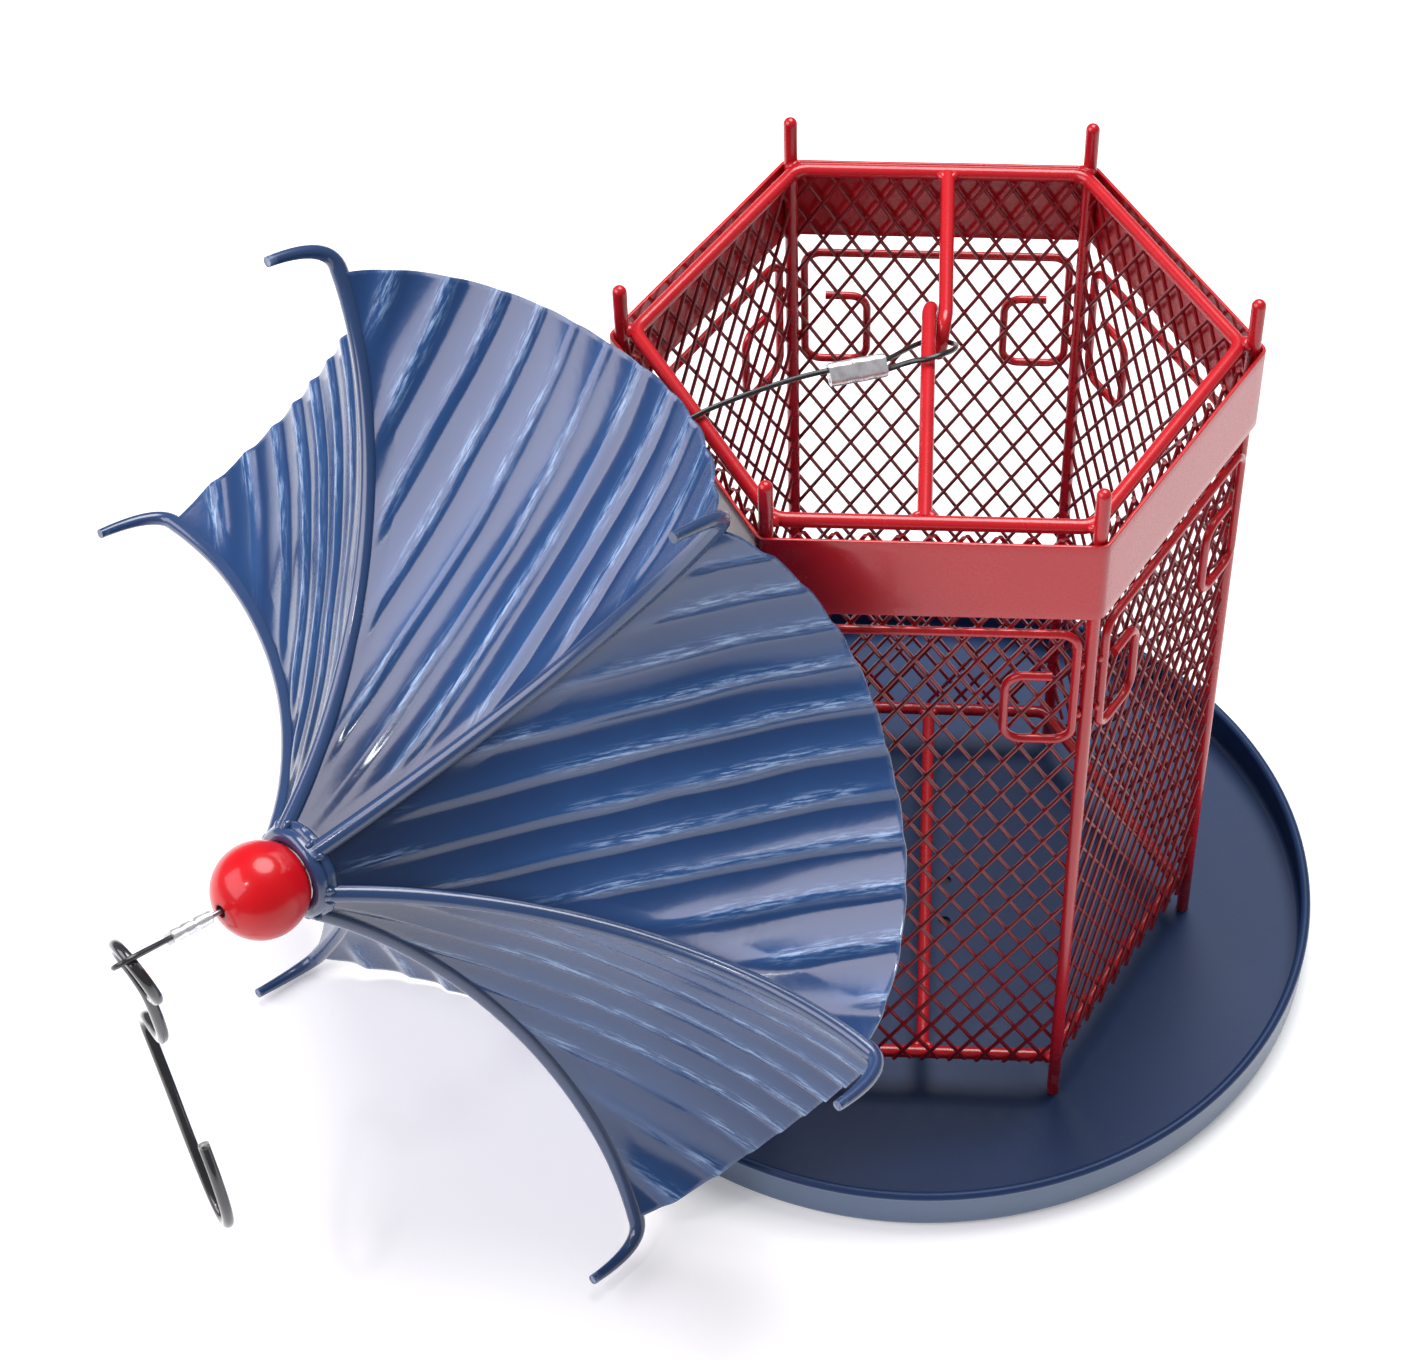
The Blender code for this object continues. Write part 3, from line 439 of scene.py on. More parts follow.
def only(thing):
    """Nothing else is selected, and the piece is the active one."""
    bpy.ops.object.select_all(action="DESELECT")
    thing.select_set(True)
    bpy.context.view_layer.objects.active = thing
    return thing


def added(name):
    thing = bpy.context.active_object
    thing.name = name
    thing.data.name = name
    return only(thing)


def edit(thing, kind="VERT"):
    only(thing)
    bpy.ops.object.mode_set(mode="EDIT")
    bpy.ops.mesh.select_mode(type=kind)
    bpy.ops.mesh.select_all(action="SELECT")


def pick(thing, test, kind="VERT"):
    """In edit mode, only the points, edges or faces that pass the test are selected."""
    bpy.ops.mesh.select_mode(type=kind)
    bpy.ops.mesh.select_all(action="DESELECT")
    shape = bmesh.from_edit_mesh(thing.data)
    for item in {"VERT": shape.verts, "EDGE": shape.edges, "FACE": shape.faces}[kind]:
        item.select_set(test(item))
    shape.select_flush_mode()
    bmesh.update_edit_mesh(thing.data)


def cut_across(place, way, **settings):
    """In edit mode, a plane cuts the whole piece."""
    bpy.ops.mesh.select_all(action="SELECT")
    bpy.ops.mesh.bisect(plane_co=place, plane_no=way, **settings)


def done():
    bpy.ops.object.mode_set(mode="OBJECT")


def discard(thing):
    bpy.data.objects.remove(thing, do_unlink=True)


def modified(thing, kind, **settings):
    """The modifier is added and applied at once."""
    made = thing.modifiers.new(kind.lower(), kind)
    for key, value in settings.items():
        setattr(made, key, value)
    only(thing)
    bpy.ops.object.modifier_apply(modifier=made.name)


def round_over(thing, width, segments=2, angle=40):
    modified(thing, "BEVEL", width=width, segments=segments, limit_method="ANGLE", angle_limit=math.radians(angle))


def cut_away(thing, tool):
    modified(thing, "BOOLEAN", operation="DIFFERENCE", solver="EXACT", object=tool)
    discard(tool)


def outward(thing):
    edit(thing)
    bpy.ops.mesh.remove_doubles(threshold=MERGE_DISTANCE)
    bpy.ops.mesh.normals_make_consistent(inside=False)
    done()


def smooth(thing, angle=40):
    only(thing)
    bpy.ops.object.shade_smooth_by_angle(angle=math.radians(angle))


def settle(thing, matrix=Matrix()):
    """Moves the mesh itself, so that the object stays at the origin."""
    only(thing)
    thing.matrix_world = matrix @ thing.matrix_world
    bpy.ops.object.transform_apply(location=True, rotation=True, scale=True)
    return thing


def copy_of(thing, name, matrix):
    twin = thing.copy()
    twin.data = thing.data.copy()
    twin.name = name
    twin.data.name = name
    bpy.context.collection.objects.link(twin)
    return settle(twin, matrix)


def drawn(name, points, closed=False, thickness=None):
    """A line through the points, ready to be given a wall or spun."""
    bpy.ops.curve.primitive_nurbs_path_add(location=(0, 0, 0))
    line = added(name)
    line.data.splines.clear()
    spline = line.data.splines.new("POLY")
    spline.points.add(len(points) - 1)
    for index, point in enumerate(points):
        spline.points[index].co = (*point, 1)
        spline.points[index].radius = thickness[index] if thickness else 1
    spline.use_cyclic_u = closed
    return line


def bent_wire(name, points, diameter, closed=False, thickness=None, sides=16, end_round=0.35):
    """A round rod bent along the points, its two ends rounded over."""
    line = drawn(name, points, closed, thickness)
    line.data.bevel_depth = diameter / 2
    line.data.bevel_resolution = sides // 4
    line.data.use_fill_caps = not closed
    bpy.ops.object.convert(target="MESH")
    wire = bpy.context.active_object
    if not closed:
        edit(wire, "FACE")
        pick(wire, lambda face: len(face.verts) > 4, "FACE")
        tip = diameter * end_round * (min(thickness[0], thickness[-1]) if thickness else 1)
        bpy.ops.mesh.bevel(offset=tip, segments=4, affect="EDGES", clamp_overlap=True)
        done()
    outward(wire)
    smooth(wire, 60)
    return wire


def spun(name, profile, sides):
    """The (radius, height) profile is spun about Z."""
    drawn(name, [(radius, 0, height) for radius, height in profile])
    bpy.ops.object.convert(target="MESH")
    shape = bpy.context.active_object
    edit(shape)
    bpy.ops.mesh.spin(steps=sides, angle=math.tau, center=(0, 0, 0), axis=(0, 0, 1))
    done()
    outward(shape)
    return shape


def keep_on_points(thing, name, values):
    """One number for each point, which the paint reads by its name."""
    mark = thing.data.attributes.new(name, "FLOAT", "POINT")
    mark.data.foreach_set("value", values)


def mark_worn_edges(thing, start_angle=26, full_angle=60, where=lambda place: True):
    """Keeps on each point how sharply the surface turns over there, for the paint's wear."""
    shape = bmesh.new()
    shape.from_mesh(thing.data)
    turns = [max((edge.calc_face_angle_signed(0) for edge in vert.link_edges), default=0) for vert in shape.verts]
    shape.free()
    span = math.radians(full_angle - start_angle)
    keep_on_points(thing, "worn_edge", [min(max((turn - math.radians(start_angle)) / span, 0), 1) * where(vert.co)
                                        for turn, vert in zip(turns, thing.data.vertices)])


def dressed(thing, material, body, slot, *nodes):
    thing.data.materials.clear()
    thing.data.materials.append(material)
    if body:
        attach(thing, body)
    if nodes:
        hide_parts(*nodes)
    return thing


def six_of(thing, name, place, material, body, slot, node):
    """Six dressed copies of the piece, each at its own place. The first one goes."""
    for index in range(FACES):
        one = copy_of(thing, f"{name}_{index + 1}", place(index))
        dressed(one, material, body, slot, f"{node}_{index + 1}")
    discard(thing)


# Lines and curves

def arc(centre, radius, start, end, steps):
    angles = [start + (end - start) * step / steps for step in range(steps + 1)]
    return [(centre[0] + radius * math.cos(a), centre[1] + radius * math.sin(a)) for a in angles]


def rounded(points, radius, steps):
    corners = [Vector(point) for point in points]
    path = [corners[0]]
    for before, corner, after in zip(corners, corners[1:], corners[2:]):
        arm_in = (before - corner).normalized()
        arm_out = (after - corner).normalized()
        half = arm_in.angle(arm_out) / 2
        centre = corner + (arm_in + arm_out).normalized() * (radius / math.sin(half))
        reach = radius / math.tan(half)
        start = corner + arm_in * reach - centre
        turn = start.rotation_difference(corner + arm_out * reach - centre)
        for step in range(steps + 1):
            path.append(centre + Quaternion(turn.axis, turn.angle * step / steps) @ start)
    return path + [corners[-1]]


def smooth_route(points, pieces):
    """Points of a smooth curve through the given points, with as many pieces to each stretch as asked.

    Each bend is eased by how far apart its points are, so the curve never overshoots or doubles back.
    """
    knots = [Vector(point) for point in points]
    ends = [knots[0] * 2 - knots[1]] + knots + [knots[-1] * 2 - knots[-2]]
    route = []
    for index, count in enumerate(pieces):
        a, b, c, d = ends[index:index + 4]
        before, here, after = ((q - p).length ** 0.5 for p, q in ((a, b), (b, c), (c, d)))
        leave = c - b + ((b - a) / before - (c - a) / (before + here)) * here
        arrive = c - b + ((d - c) / after - (d - b) / (here + after)) * here
        for step in range(count):
            t = step / count
            bent = (b - c) * 2 + leave + arrive
            route.append(b + leave * t + (c - b - leave - bent) * t ** 2 + bent * t ** 3)
    return route + [knots[-1]]


def hexagon(centre_radius, bend_radius, steps, straight=0):
    """A rounded hexagon. Each straight side may be cut into short pieces."""
    outline = []
    for corner in range(FACES):
        angle = corner * FACE_ANGLE
        centre = (centre_radius * math.cos(angle), centre_radius * math.sin(angle))
        outline += arc(centre, bend_radius, angle - HALF_FACE, angle + HALF_FACE, steps)
        if straight:
            ahead = angle + FACE_ANGLE
            turn = angle + HALF_FACE
            end = Vector((centre_radius * math.cos(ahead), centre_radius * math.sin(ahead)))
            end += Vector((math.cos(turn), math.sin(turn))) * bend_radius
            start = Vector(outline[-1])
            outline += [tuple(start.lerp(end, step / straight)) for step in range(1, straight)]
    return outline


def bezier(points, t):
    while len(points) > 1:
        points = [a.lerp(b, t) for a, b in zip(points, points[1:])]
    return points[0]


def axes_matrix(origin, z_axis, x_axis):
    z_axis = z_axis.normalized()
    x_axis = (x_axis - z_axis * x_axis.dot(z_axis)).normalized()
    turn = Matrix((x_axis, z_axis.cross(x_axis), z_axis)).transposed().to_4x4()
    return Matrix.Translation(origin) @ turn


def face_turn(index):
    return Matrix.Rotation(index * FACE_ANGLE, 4, "Z")


def post_place(index):
    angle = index * FACE_ANGLE
    return Matrix.Translation((POST_CIRCLE_RADIUS * math.cos(angle), POST_CIRCLE_RADIUS * math.sin(angle), 0))


# The camera stands where the photograph was taken from

def set_camera():
    level = Vector((math.cos(CAMERA_YAW), math.sin(CAMERA_YAW), 0))
    ahead = UP.cross(level) * math.cos(CAMERA_PITCH) - UP * math.sin(CAMERA_PITCH)
    over = level.cross(ahead)
    right = level * math.cos(CAMERA_ROLL) + over * math.sin(CAMERA_ROLL)
    above = over * math.cos(CAMERA_ROLL) - level * math.sin(CAMERA_ROLL)
    bpy.ops.object.camera_add(location=(0, 0, 0))
    camera = bpy.context.active_object
    turn = Matrix((right, above, -ahead)).transposed().to_4x4()
    camera.matrix_world = Matrix.Translation(CAMERA_PLACE) @ turn
    camera.data.lens = CAMERA_LENS
    camera.data.sensor_width = 36
    camera.data.shift_x = CAMERA_SHIFT_X
    camera.data.shift_y = CAMERA_SHIFT_Y
    camera.data.clip_start = 0.05
    bpy.context.scene.camera = camera


def soft_box(name, place, aim, width, height, watts, shape="RECTANGLE", tint=(1.0, 1.0, 1.0)):
    bpy.ops.object.light_add(type="AREA", location=place)
    lamp = bpy.context.active_object
    lamp.name = name
    lamp.data.shape = shape
    lamp.data.size = width
    lamp.data.size_y = height
    lamp.data.energy = watts
    lamp.data.color = tint
    lamp.rotation_euler = (Vector(aim) - Vector(place)).to_track_quat("-Z", "Y").to_euler()


def set_studio():
    """White paper, faintly glowing, with a painted shadow under the tray; two soft boxes, the left one lilac; and a
    small lamp.
    """
    bpy.context.scene.view_settings.view_transform = "Standard"
    world = bpy.data.worlds.new("studio")
    bpy.context.scene.world = world
    world.use_nodes = True
    sky = world.node_tree.nodes["Background"].inputs
    sky["Color"].default_value = (0.95, 0.96, 1.0, 1.0)
    sky["Strength"].default_value = 0.22
    bpy.ops.mesh.primitive_plane_add(size=PAPER_SIZE, location=(0, 0, PAPER_LEVEL))
    floor = added("studio_floor")
    paper = Finish("studio_paper")
    # Painted shadow: under the tray the paper turns nearly black, in its colour and its glow, so the drains look as
    # dark as shaded holes.
    from_middle = paper.node("ShaderNodeVectorMath", {"operation": "LENGTH"}, paper.place)["Value"]
    painted_shadow_under_tray = from_middle.between(PAPER_SHADE_OUTSIDE, PAPER_SHADE_INSIDE)
    tone = paper.blend(painted_shadow_under_tray, (0.90, 0.90, 0.90), (0.03, 0.03, 0.04))
    floor.data.materials.append(paper.finish(tone, 0.9, paper.grain(40), 0.0001))
    paper.fill(paper.shader.inputs["Emission Color"], tone)
    paper.shader.inputs["Emission Strength"].default_value = 0.30
    soft_box("overhead_box", (0.15, 0.55, 1.8), (0, 0.05, 0.1), 1.3, 1.3, 39, "DISK")
    soft_box("left_box", (-1.18, -0.43, 0.94), (-0.13, -0.08, 0.10), 1.4, 0.9, 16, tint=(1.0, 0.93, 1.0))
    soft_box("round_lamp", (-0.75, -0.75, 1.5), (-0.1, -0.05, 0.1), 0.13, 0.13, 2.6, "DISK")


# The cable: tail, eye round the coil, over the ring, up through the roof, loop for the hook, and tail again

def lower_ferrule_frame():
    return axes_matrix(LOWER_FERRULE_CENTRE, LOWER_FERRULE_LINE, LOWER_FERRULE_ACROSS)


def cable_route(fineness):
    ferrule = lower_ferrule_frame()
    half = LOWER_FERRULE_LENGTH / 2
    bore = STRAND_SPACING / 2
    tail = [ferrule @ Vector((bore, 0, end)) for end in (half, 0, -half)]
    main_bore = [ferrule @ Vector((-bore, 0, end)) for end in (-half, 0, half)]
    axis_end = UPPER_FERRULE_RISE + UPPER_FERRULE_LENGTH
    along = [(0, 0, -CABLE_ENTRY), (0, 0, 0), (0, 0, UPPER_FERRULE_RISE), (0, 0, axis_end)]
    back = [(STRAND_SPACING, 0, axis_end), (STRAND_SPACING, 0, UPPER_FERRULE_RISE)]
    top = [ROOF_TOP @ UPPER_FERRULE_TURN @ Vector(point) for point in along + list(CABLE_LOOP) + back]
    eye, crossing = ([Vector(point) for point in points] for points in (CABLE_EYE, CABLE_CROSSING))
    knots = tail + eye + main_bore + crossing + top
    counts = [max(fineness, round((b - a).length / CABLE_STEP)) for a, b in zip(knots, knots[1:])]
    return smooth_route(knots, counts)


def make_cable():
    route = cable_route(fineness=6)
    cable = bent_wire("coated_cable", route, CABLE, sides=12, end_round=0.2)
    from_roof = ROOF_TOP.inverted()
    places = [from_roof @ vert.co for vert in cable.data.vertices]
    keep_on_points(cable, "bare_steel", [float(place.xy.length < CABLE and 0 < place.z < UPPER_FERRULE_RISE)
                                         for place in places])
    dressed(cable, CABLE_BLACK, None, "cable_black", "hanging_cable")
    return cable, route


def make_ferrule(name, length, matrix, body, node):
    """A short sleeve over two strands: two barrels side by side, nipped three times by the pliers."""
    bpy.ops.mesh.primitive_cylinder_add(vertices=40, radius=FERRULE_THICKNESS / 2, depth=length, location=(0, 0, 0))
    sleeve = added(name)
    edit(sleeve)
    for side in (1, -1):
        pick(sleeve, lambda vert: vert.co.x * side > MERGE_DISTANCE)
        bpy.ops.transform.translate(value=(side * STRAND_SPACING / 2, 0, 0))
    pick(sleeve, lambda face: abs(face.normal.z) > 0.9, "FACE")
    bpy.ops.mesh.inset(thickness=FERRULE_LIP)
    loops = 24
    for step in range(1, loops):
        cut_across((0, 0, length * (step / loops - 0.5)), UP)
    done()
    reach = FERRULE_THICKNESS / 2
    for vert in sleeve.data.vertices:
        x, y, z = vert.co
        share = z / length
        nip = max(0, math.cos((share + x / length * 0.4) * math.tau * 3)) ** 2 * max(0, 1 - abs(share) * 1.8)
        waist = math.exp(-(x / FERRULE_WAIST) ** 2) * 0.16
        end = max(0, abs(share) * 2 - 0.9) * 10
        vert.co.y = y * (1 - nip * 0.30) * (1 - waist) * (1 - 0.10 * end ** 2)
        vert.co.x = x * (1 + nip * 0.02 - 0.05 * end ** 2)
        vert.co += Vector((1, 1, 0)) * noise.noise(Vector((x, y, z)) * 900) * reach * 0.012
    outward(sleeve)
    mark_worn_edges(sleeve)
    smooth(sleeve, 50)
    settle(sleeve, matrix)
    return dressed(sleeve, FERRULE, body, "ferrule_metal", node)


def make_hook():
    hang = ROOF_TOP.translation + ROOF_AXIS * HOOK_REACH + UP * HOOK_LIFT
    across = Vector((math.cos(HOOK_RING_AZIMUTH), math.sin(HOOK_RING_AZIMUTH), 0))
    beside = UP.cross(across)
    down = beside * math.sin(HOOK_RING_LEAN) - UP * math.cos(HOOK_RING_LEAN)
    radius = HOOK_RING_RADIUS
    centre = down * radius
    ring = [centre + across * x - down * y for x, y in arc((0, 0), radius, math.radians(-68), math.radians(235), 60)]
    neck_top = centre + down * radius
    neck_end = neck_top - UP * HOOK_NECK + beside * HOOK_NECK_OFFSET
    neck = [neck_top.lerp(neck_end, share) + across * x * radius for x, share in HOOK_NECK_shares]
    body_across = Vector((math.cos(HOOK_BODY_AZIMUTH), math.sin(HOOK_BODY_AZIMUTH), 0))
    body = [neck_end + (body_across * p - UP * q) * HOOK_BOWL_WIDTH for p, q in HOOK_BODY_shares]
    path = ring + smooth_route([ring[-1]] + neck + body, [8] * (len(neck) + len(body)))[1:]
    hook = bent_wire("wire_hook", [hang + point for point in path], HOOK_WIRE, sides=20)
    mark_worn_edges(hook)
    dressed(hook, HOOK_BLACK, "hook", "hook_black", "hook")


# The tray and the cage

def make_tray():
    wall_outside = TRAY_RADIUS - TRAY_BEAD_OVERHANG
    wall_inside = wall_outside - TRAY_SHEET
    bead = TRAY_BEAD_DIAMETER / 2
    bead_centre = (TRAY_RADIUS - bead, TRAY_HEIGHT - bead)
    bead_start = -math.acos((wall_outside - bead_centre[0]) / bead)
    bead_end = math.tau - math.acos((wall_inside - bead_centre[0]) / bead)
    corner = (wall_outside - TRAY_BEND_RADIUS, TRAY_BEND_RADIUS)
    inside = TRAY_BEND_RADIUS - TRAY_SHEET
    profile = [(0, 0), (TRAY_FLOOR_RING, 0)] + arc(corner, TRAY_BEND_RADIUS, -math.pi / 2, 0, 8)
    profile += arc(bead_centre, bead, bead_start, bead_end, 20)
    profile += arc(corner, inside, 0, -math.pi / 2, 6) + [(TRAY_FLOOR_RING, TRAY_SHEET), (0, TRAY_SHEET)]
    tray = spun("tray_pan", profile, 180)
    sink = (SCREW_HEAD_RADIUS + GAP) * 1.9
    drain = DRAIN_DIAMETER / 2
    drills = [(POST_CIRCLE_RADIUS, index * FACE_ANGLE, sink, COUNTERSINK_TIP) for index in range(FACES)]
    drills += [(DRAIN_CIRCLE_RADIUS, (index + 0.5) * math.tau / DRAINS, drain, drain) for index in range(DRAINS)]
    for ring, angle, low, high in drills:
        spot = (ring * math.cos(angle), ring * math.sin(angle), TRAY_SHEET / 2)
        bpy.ops.mesh.primitive_cone_add(vertices=28, radius1=low, radius2=high, depth=TRAY_SHEET * 3, location=spot)
        cut_away(tray, added("drill"))
    mark_worn_edges(tray, 30, 80, lambda place: place.z > TRAY_HEIGHT * 0.7)
    smooth(tray, 35)
    dressed(tray, TRAY_BLUE, "feeder", "blue_powder_coat", "tray")
    # The outside of the wall takes the lighter copy: a painted reflection of the floor.
    tray.data.materials.append(WALL_BLUE_PAINTED_SHEEN)
    for face in tray.data.polygons:
        outside = face.center.xy.length > wall_inside + TRAY_SHEET / 4
        face.material_index = int(outside and face.center.z < TRAY_HEIGHT * 0.9)


def make_posts():
    height = POST_TOP - POST_BOTTOM
    bpy.ops.mesh.primitive_cylinder_add(vertices=24, radius=POST_RADIUS, depth=height,
                                        location=(0, 0, POST_BOTTOM + height / 2))
    post = settle(added("post_rod"))
    edit(post, "FACE")
    pick(post, lambda face: face.normal.z > 0.9, "FACE")
    bpy.ops.mesh.bevel(offset=POST_RADIUS * 0.96, segments=6, affect="EDGES")
    lengths = 12
    for step in range(1, lengths):
        cut_across((0, 0, POST_TOP - height * step / lengths), UP)
    done()
    for vert in post.data.vertices:
        crown = max(0, 1 - abs(POST_TOP - POST_CROWN - vert.co.z) / POST_CROWN)
        vert.co.xy *= 1 - 0.04 * (1 - crown)
    outward(post)
    smooth(post, 50)
    mark_worn_edges(post)
    six_of(post, "round_post", post_place, RED, "feeder", "red_powder_coat", "post")


def make_screws():
    profile = [(0, 0), (SCREW_HEAD_RADIUS * 0.92, 0), (SCREW_HEAD_RADIUS, SCREW_EDGE),
               (SCREW_RADIUS, SCREW_HEAD_HEIGHT)]
    threaded = SCREW_LENGTH - SCREW_NECK - SCREW_POINT
    turns = 16
    for step in range(turns * 2):
        out = SCREW_RADIUS if step % 2 else SCREW_RADIUS * 0.82
        profile.append((out, SCREW_HEAD_HEIGHT + SCREW_NECK + threaded * step / turns / 2))
    profile.append((0, SCREW_LENGTH))
    screw = spun("screw", profile, 28)
    for turn in (0, 90):
        bpy.ops.mesh.primitive_cube_add(size=1, location=(0, 0, 0), scale=SLOT_BLADE)
        cut_away(screw, settle(added("blade"), Matrix.Rotation(math.radians(turn), 4, "Z")))
    smooth(screw, 30)
    mark_worn_edges(screw)
    six_of(screw, "countersunk_screw", post_place, ZINC, "feeder", "zinc_screw", "post_screw")


def make_rings():
    outline = hexagon(RING_CORNER_RADIUS, RING_BEND_RADIUS, 10, straight=6)
    for name, level, node in (("upper_hexagon", TOP_RING_LEVEL, "top_ring"),
                              ("lower_hexagon", BOTTOM_RING_LEVEL, "bottom_ring")):
        ring = bent_wire(name, [(x, y, level) for x, y in outline], ROD, closed=True, sides=20)
        dressed(ring, RED, "feeder", "red_powder_coat", node)


def make_cross_bars():
    half_length = RING_PLANE - ROD / 4
    start = Vector((BOTTOM_BAR_OFFSET, half_length, BOTTOM_RING_LEVEL))
    end = Vector((BOTTOM_BAR_OFFSET, -half_length, BOTTOM_RING_LEVEL))
    low_bar = bent_wire("lower_bar", [start.lerp(end, step / 12) for step in range(13)], ROD, sides=20)
    dressed(low_bar, RED, "feeder", "red_powder_coat", "bottom_cross_bar")
    side = PIGTAIL_SPREAD / 2
    radius = PIGTAIL_DIAMETER / 2
    steps = 48
    path = [Vector((side, half_length, TOP_RING_LEVEL))]
    for step in range(steps + 1):
        angle = math.tau * step / steps
        across = side - PIGTAIL_SPREAD * step / steps
        path.append(Vector((across, PIGTAIL_OFFSET - radius * math.sin(angle),
                            TOP_RING_LEVEL - radius + radius * math.cos(angle))))
    path.append(Vector((-side, -half_length, TOP_RING_LEVEL)))
    bar = bent_wire("upper_bar_with_coil", path, ROD, sides=20)
    dressed(bar, RED, "feeder", "red_powder_coat", "top_cross_bar")


def make_band():
    """Sheet bent round the posts, with the slight hollows that bending leaves in its flats."""
    outline = hexagon(POST_CIRCLE_RADIUS, POST_RADIUS + GAP + BAND_SHEET / 2, 8, straight=24)
    drawn("band", [(x, y, BAND_BOTTOM) for x, y in outline], closed=True)
    bpy.ops.object.convert(target="MESH")
    band = added("sheet_band")
    edit(band, "EDGE")
    rows = 8
    for step in range(rows):
        bpy.ops.mesh.extrude_region_move(TRANSFORM_OT_translate={"value": (0, 0, (BAND_TOP - BAND_BOTTOM) / rows)})
    done()
    for vert in band.data.vertices:
        outwards = Vector((vert.co.x, vert.co.y, 0)).normalized()
        vert.co += outwards * noise.noise(vert.co * 26) * BAND_HOLLOW
    modified(band, "SOLIDIFY", thickness=BAND_SHEET, offset=0)
    outward(band)
    round_over(band, BAND_EDGE_ROUND, 3)
    mark_worn_edges(band, 15, 45)
    smooth(band)
    dressed(band, RED, "feeder", "red_powder_coat", "top_band")


def make_mesh_panels():
    """Straight wires welded where they cross, cut off at the frame."""
    slope = math.atan2(DIAMOND_WIDTH, DIAMOND_HEIGHT)
    count = 30
    spread = DIAMOND_WIDTH * (count - 1)
    layers = []
    for side in (1, -1):
        spot = (-spread / 2, -MESH_PLANE - side * MESH_WIRE * 0.25, MESH_PATTERN_LEVEL)
        bpy.ops.mesh.primitive_cylinder_add(vertices=8, radius=MESH_WIRE / 2, depth=MESH_UNCUT_LENGTH, location=spot,
                                            rotation=(0, side * slope, 0))
        layer = settle(added(f"wires_{side}"))
        modified(layer, "ARRAY", count=count, use_relative_offset=False, use_constant_offset=True,
                 constant_offset_displace=(DIAMOND_WIDTH, 0, 0))
        edit(layer)
        for place, way in (((MESH_HALF_WIDTH, 0, 0), (1, 0, 0)), ((-MESH_HALF_WIDTH, 0, 0), (-1, 0, 0)),
                           ((0, 0, MESH_HIGH), UP), ((0, 0, MESH_LOW), -UP)):
            cut_across(place, way, use_fill=True, clear_outer=True)
        done()
        outward(layer)
        smooth(layer, 50)
        layers.append(layer)
    only(layers[0])
    layers[1].select_set(True)
    bpy.ops.object.join()
    panel = bpy.context.active_object
    six_of(panel, "wire_mesh", face_turn, MESH_RED_PAINTED_SHADE, "feeder", "red_powder_coat", "mesh_panel")


def make_frets():
    inner = FRET_SIDE - FRET_FOOT_WIDTH
    free = inner + FRET_CURL_WIDTH
    right = [(FRET_SIDE, FRET_TOP), (FRET_SIDE, FRET_FOOT), (inner, FRET_FOOT), (inner, FRET_CURL), (free, FRET_CURL)]
    left = [(-x, z) for x, z in reversed(right)]
    path = rounded([(x, -FRET_PLANE, z) for x, z in left + right], FRET_BEND_RADIUS, 10)
    wire = bent_wire("fret", path, FRET_WIRE)
    six_of(wire, "square_spiral", face_turn, RED, "feeder", "red_powder_coat", "fret_wire")


def weld_bead(name, spots, size, material, body, slot, seed):
    """Small lumps of weld under the paint, drawn out along each joint. A spot is (place, direction, size share)."""
    beads = []
    for index, (spot, along, share) in enumerate(spots):
        bpy.ops.mesh.primitive_uv_sphere_add(segments=14, ring_count=9, radius=size * share, location=(0, 0, 0))
        bead = added(f"{name}_{index}")
        for vert in bead.data.vertices:
            lump = noise.noise(vert.co / size * 1.1 + Vector((index, seed, 0)))
            vert.co *= 1 + lump * 0.30
            vert.co.z *= 1.5
        settle(bead, axes_matrix(spot, along, along.orthogonal()))
        beads.append(bead)
    only(beads[0])
    for bead in beads[1:]:
        bead.select_set(True)
    bpy.ops.object.join()
    joined = added(name)
    smooth(joined, 80)
    dressed(joined, material, body, slot)


def make_cage_welds():
    spots = []
    for index in range(FACES):
        angle = index * FACE_ANGLE
        out = Vector((math.cos(angle), math.sin(angle), 0))
        for level in (TOP_RING_LEVEL, BOTTOM_RING_LEVEL):
            spot = out * (POST_CIRCLE_RADIUS - POST_RADIUS * 1.1) + UP * (level + RING_WELD_RISE)
            spots.append((spot, UP.cross(out), 1.0))
        turn = face_turn(index)
        for side in (1, -1):
            for level in FRET_WELD_LEVELS:
                spot = turn @ Vector((side * (FRET_SIDE + FRET_WIRE * 0.5), -FRET_PLANE + WELD_RISE, level))
                spots.append((spot, UP, 0.62))
    for y, x, level in ((1, PIGTAIL_SPREAD / 2, TOP_RING_LEVEL), (-1, -PIGTAIL_SPREAD / 2, TOP_RING_LEVEL),
                        (1, BOTTOM_BAR_OFFSET, BOTTOM_RING_LEVEL), (-1, BOTTOM_BAR_OFFSET, BOTTOM_RING_LEVEL)):
        for side in (1, -1):
            spot = Vector((x + side * ROD * 0.42, y * (RING_PLANE - ROD * 0.55), level + WELD_RISE))
            spots.append((spot, Vector((side, y, 0)), 0.8))
    weld_bead("cage_welds", spots, CAGE_WELD, RED, "feeder", "red_powder_coat", 3)


# The roof

def rib_line(steps):
    corner = Vector((ROOF_CORNER_RADIUS, 0, -ROOF_DROP))
    hand = [Vector((r * ROOF_CORNER_RADIUS, 0, -z * ROOF_DROP)) for r, z in RIB_CURVE_shares]
    return [bezier([RIB_START] + hand + [corner], step / steps) for step in range(steps + 1)]


FINE_RIB = rib_line(60)


def rib_height(radius):
    for low, high in zip(FINE_RIB, FINE_RIB[1:]):
        if radius <= high.x:
            return low.z + (high.z - low.z) * (radius - low.x) / (high.x - low.x)
    return FINE_RIB[-1].z


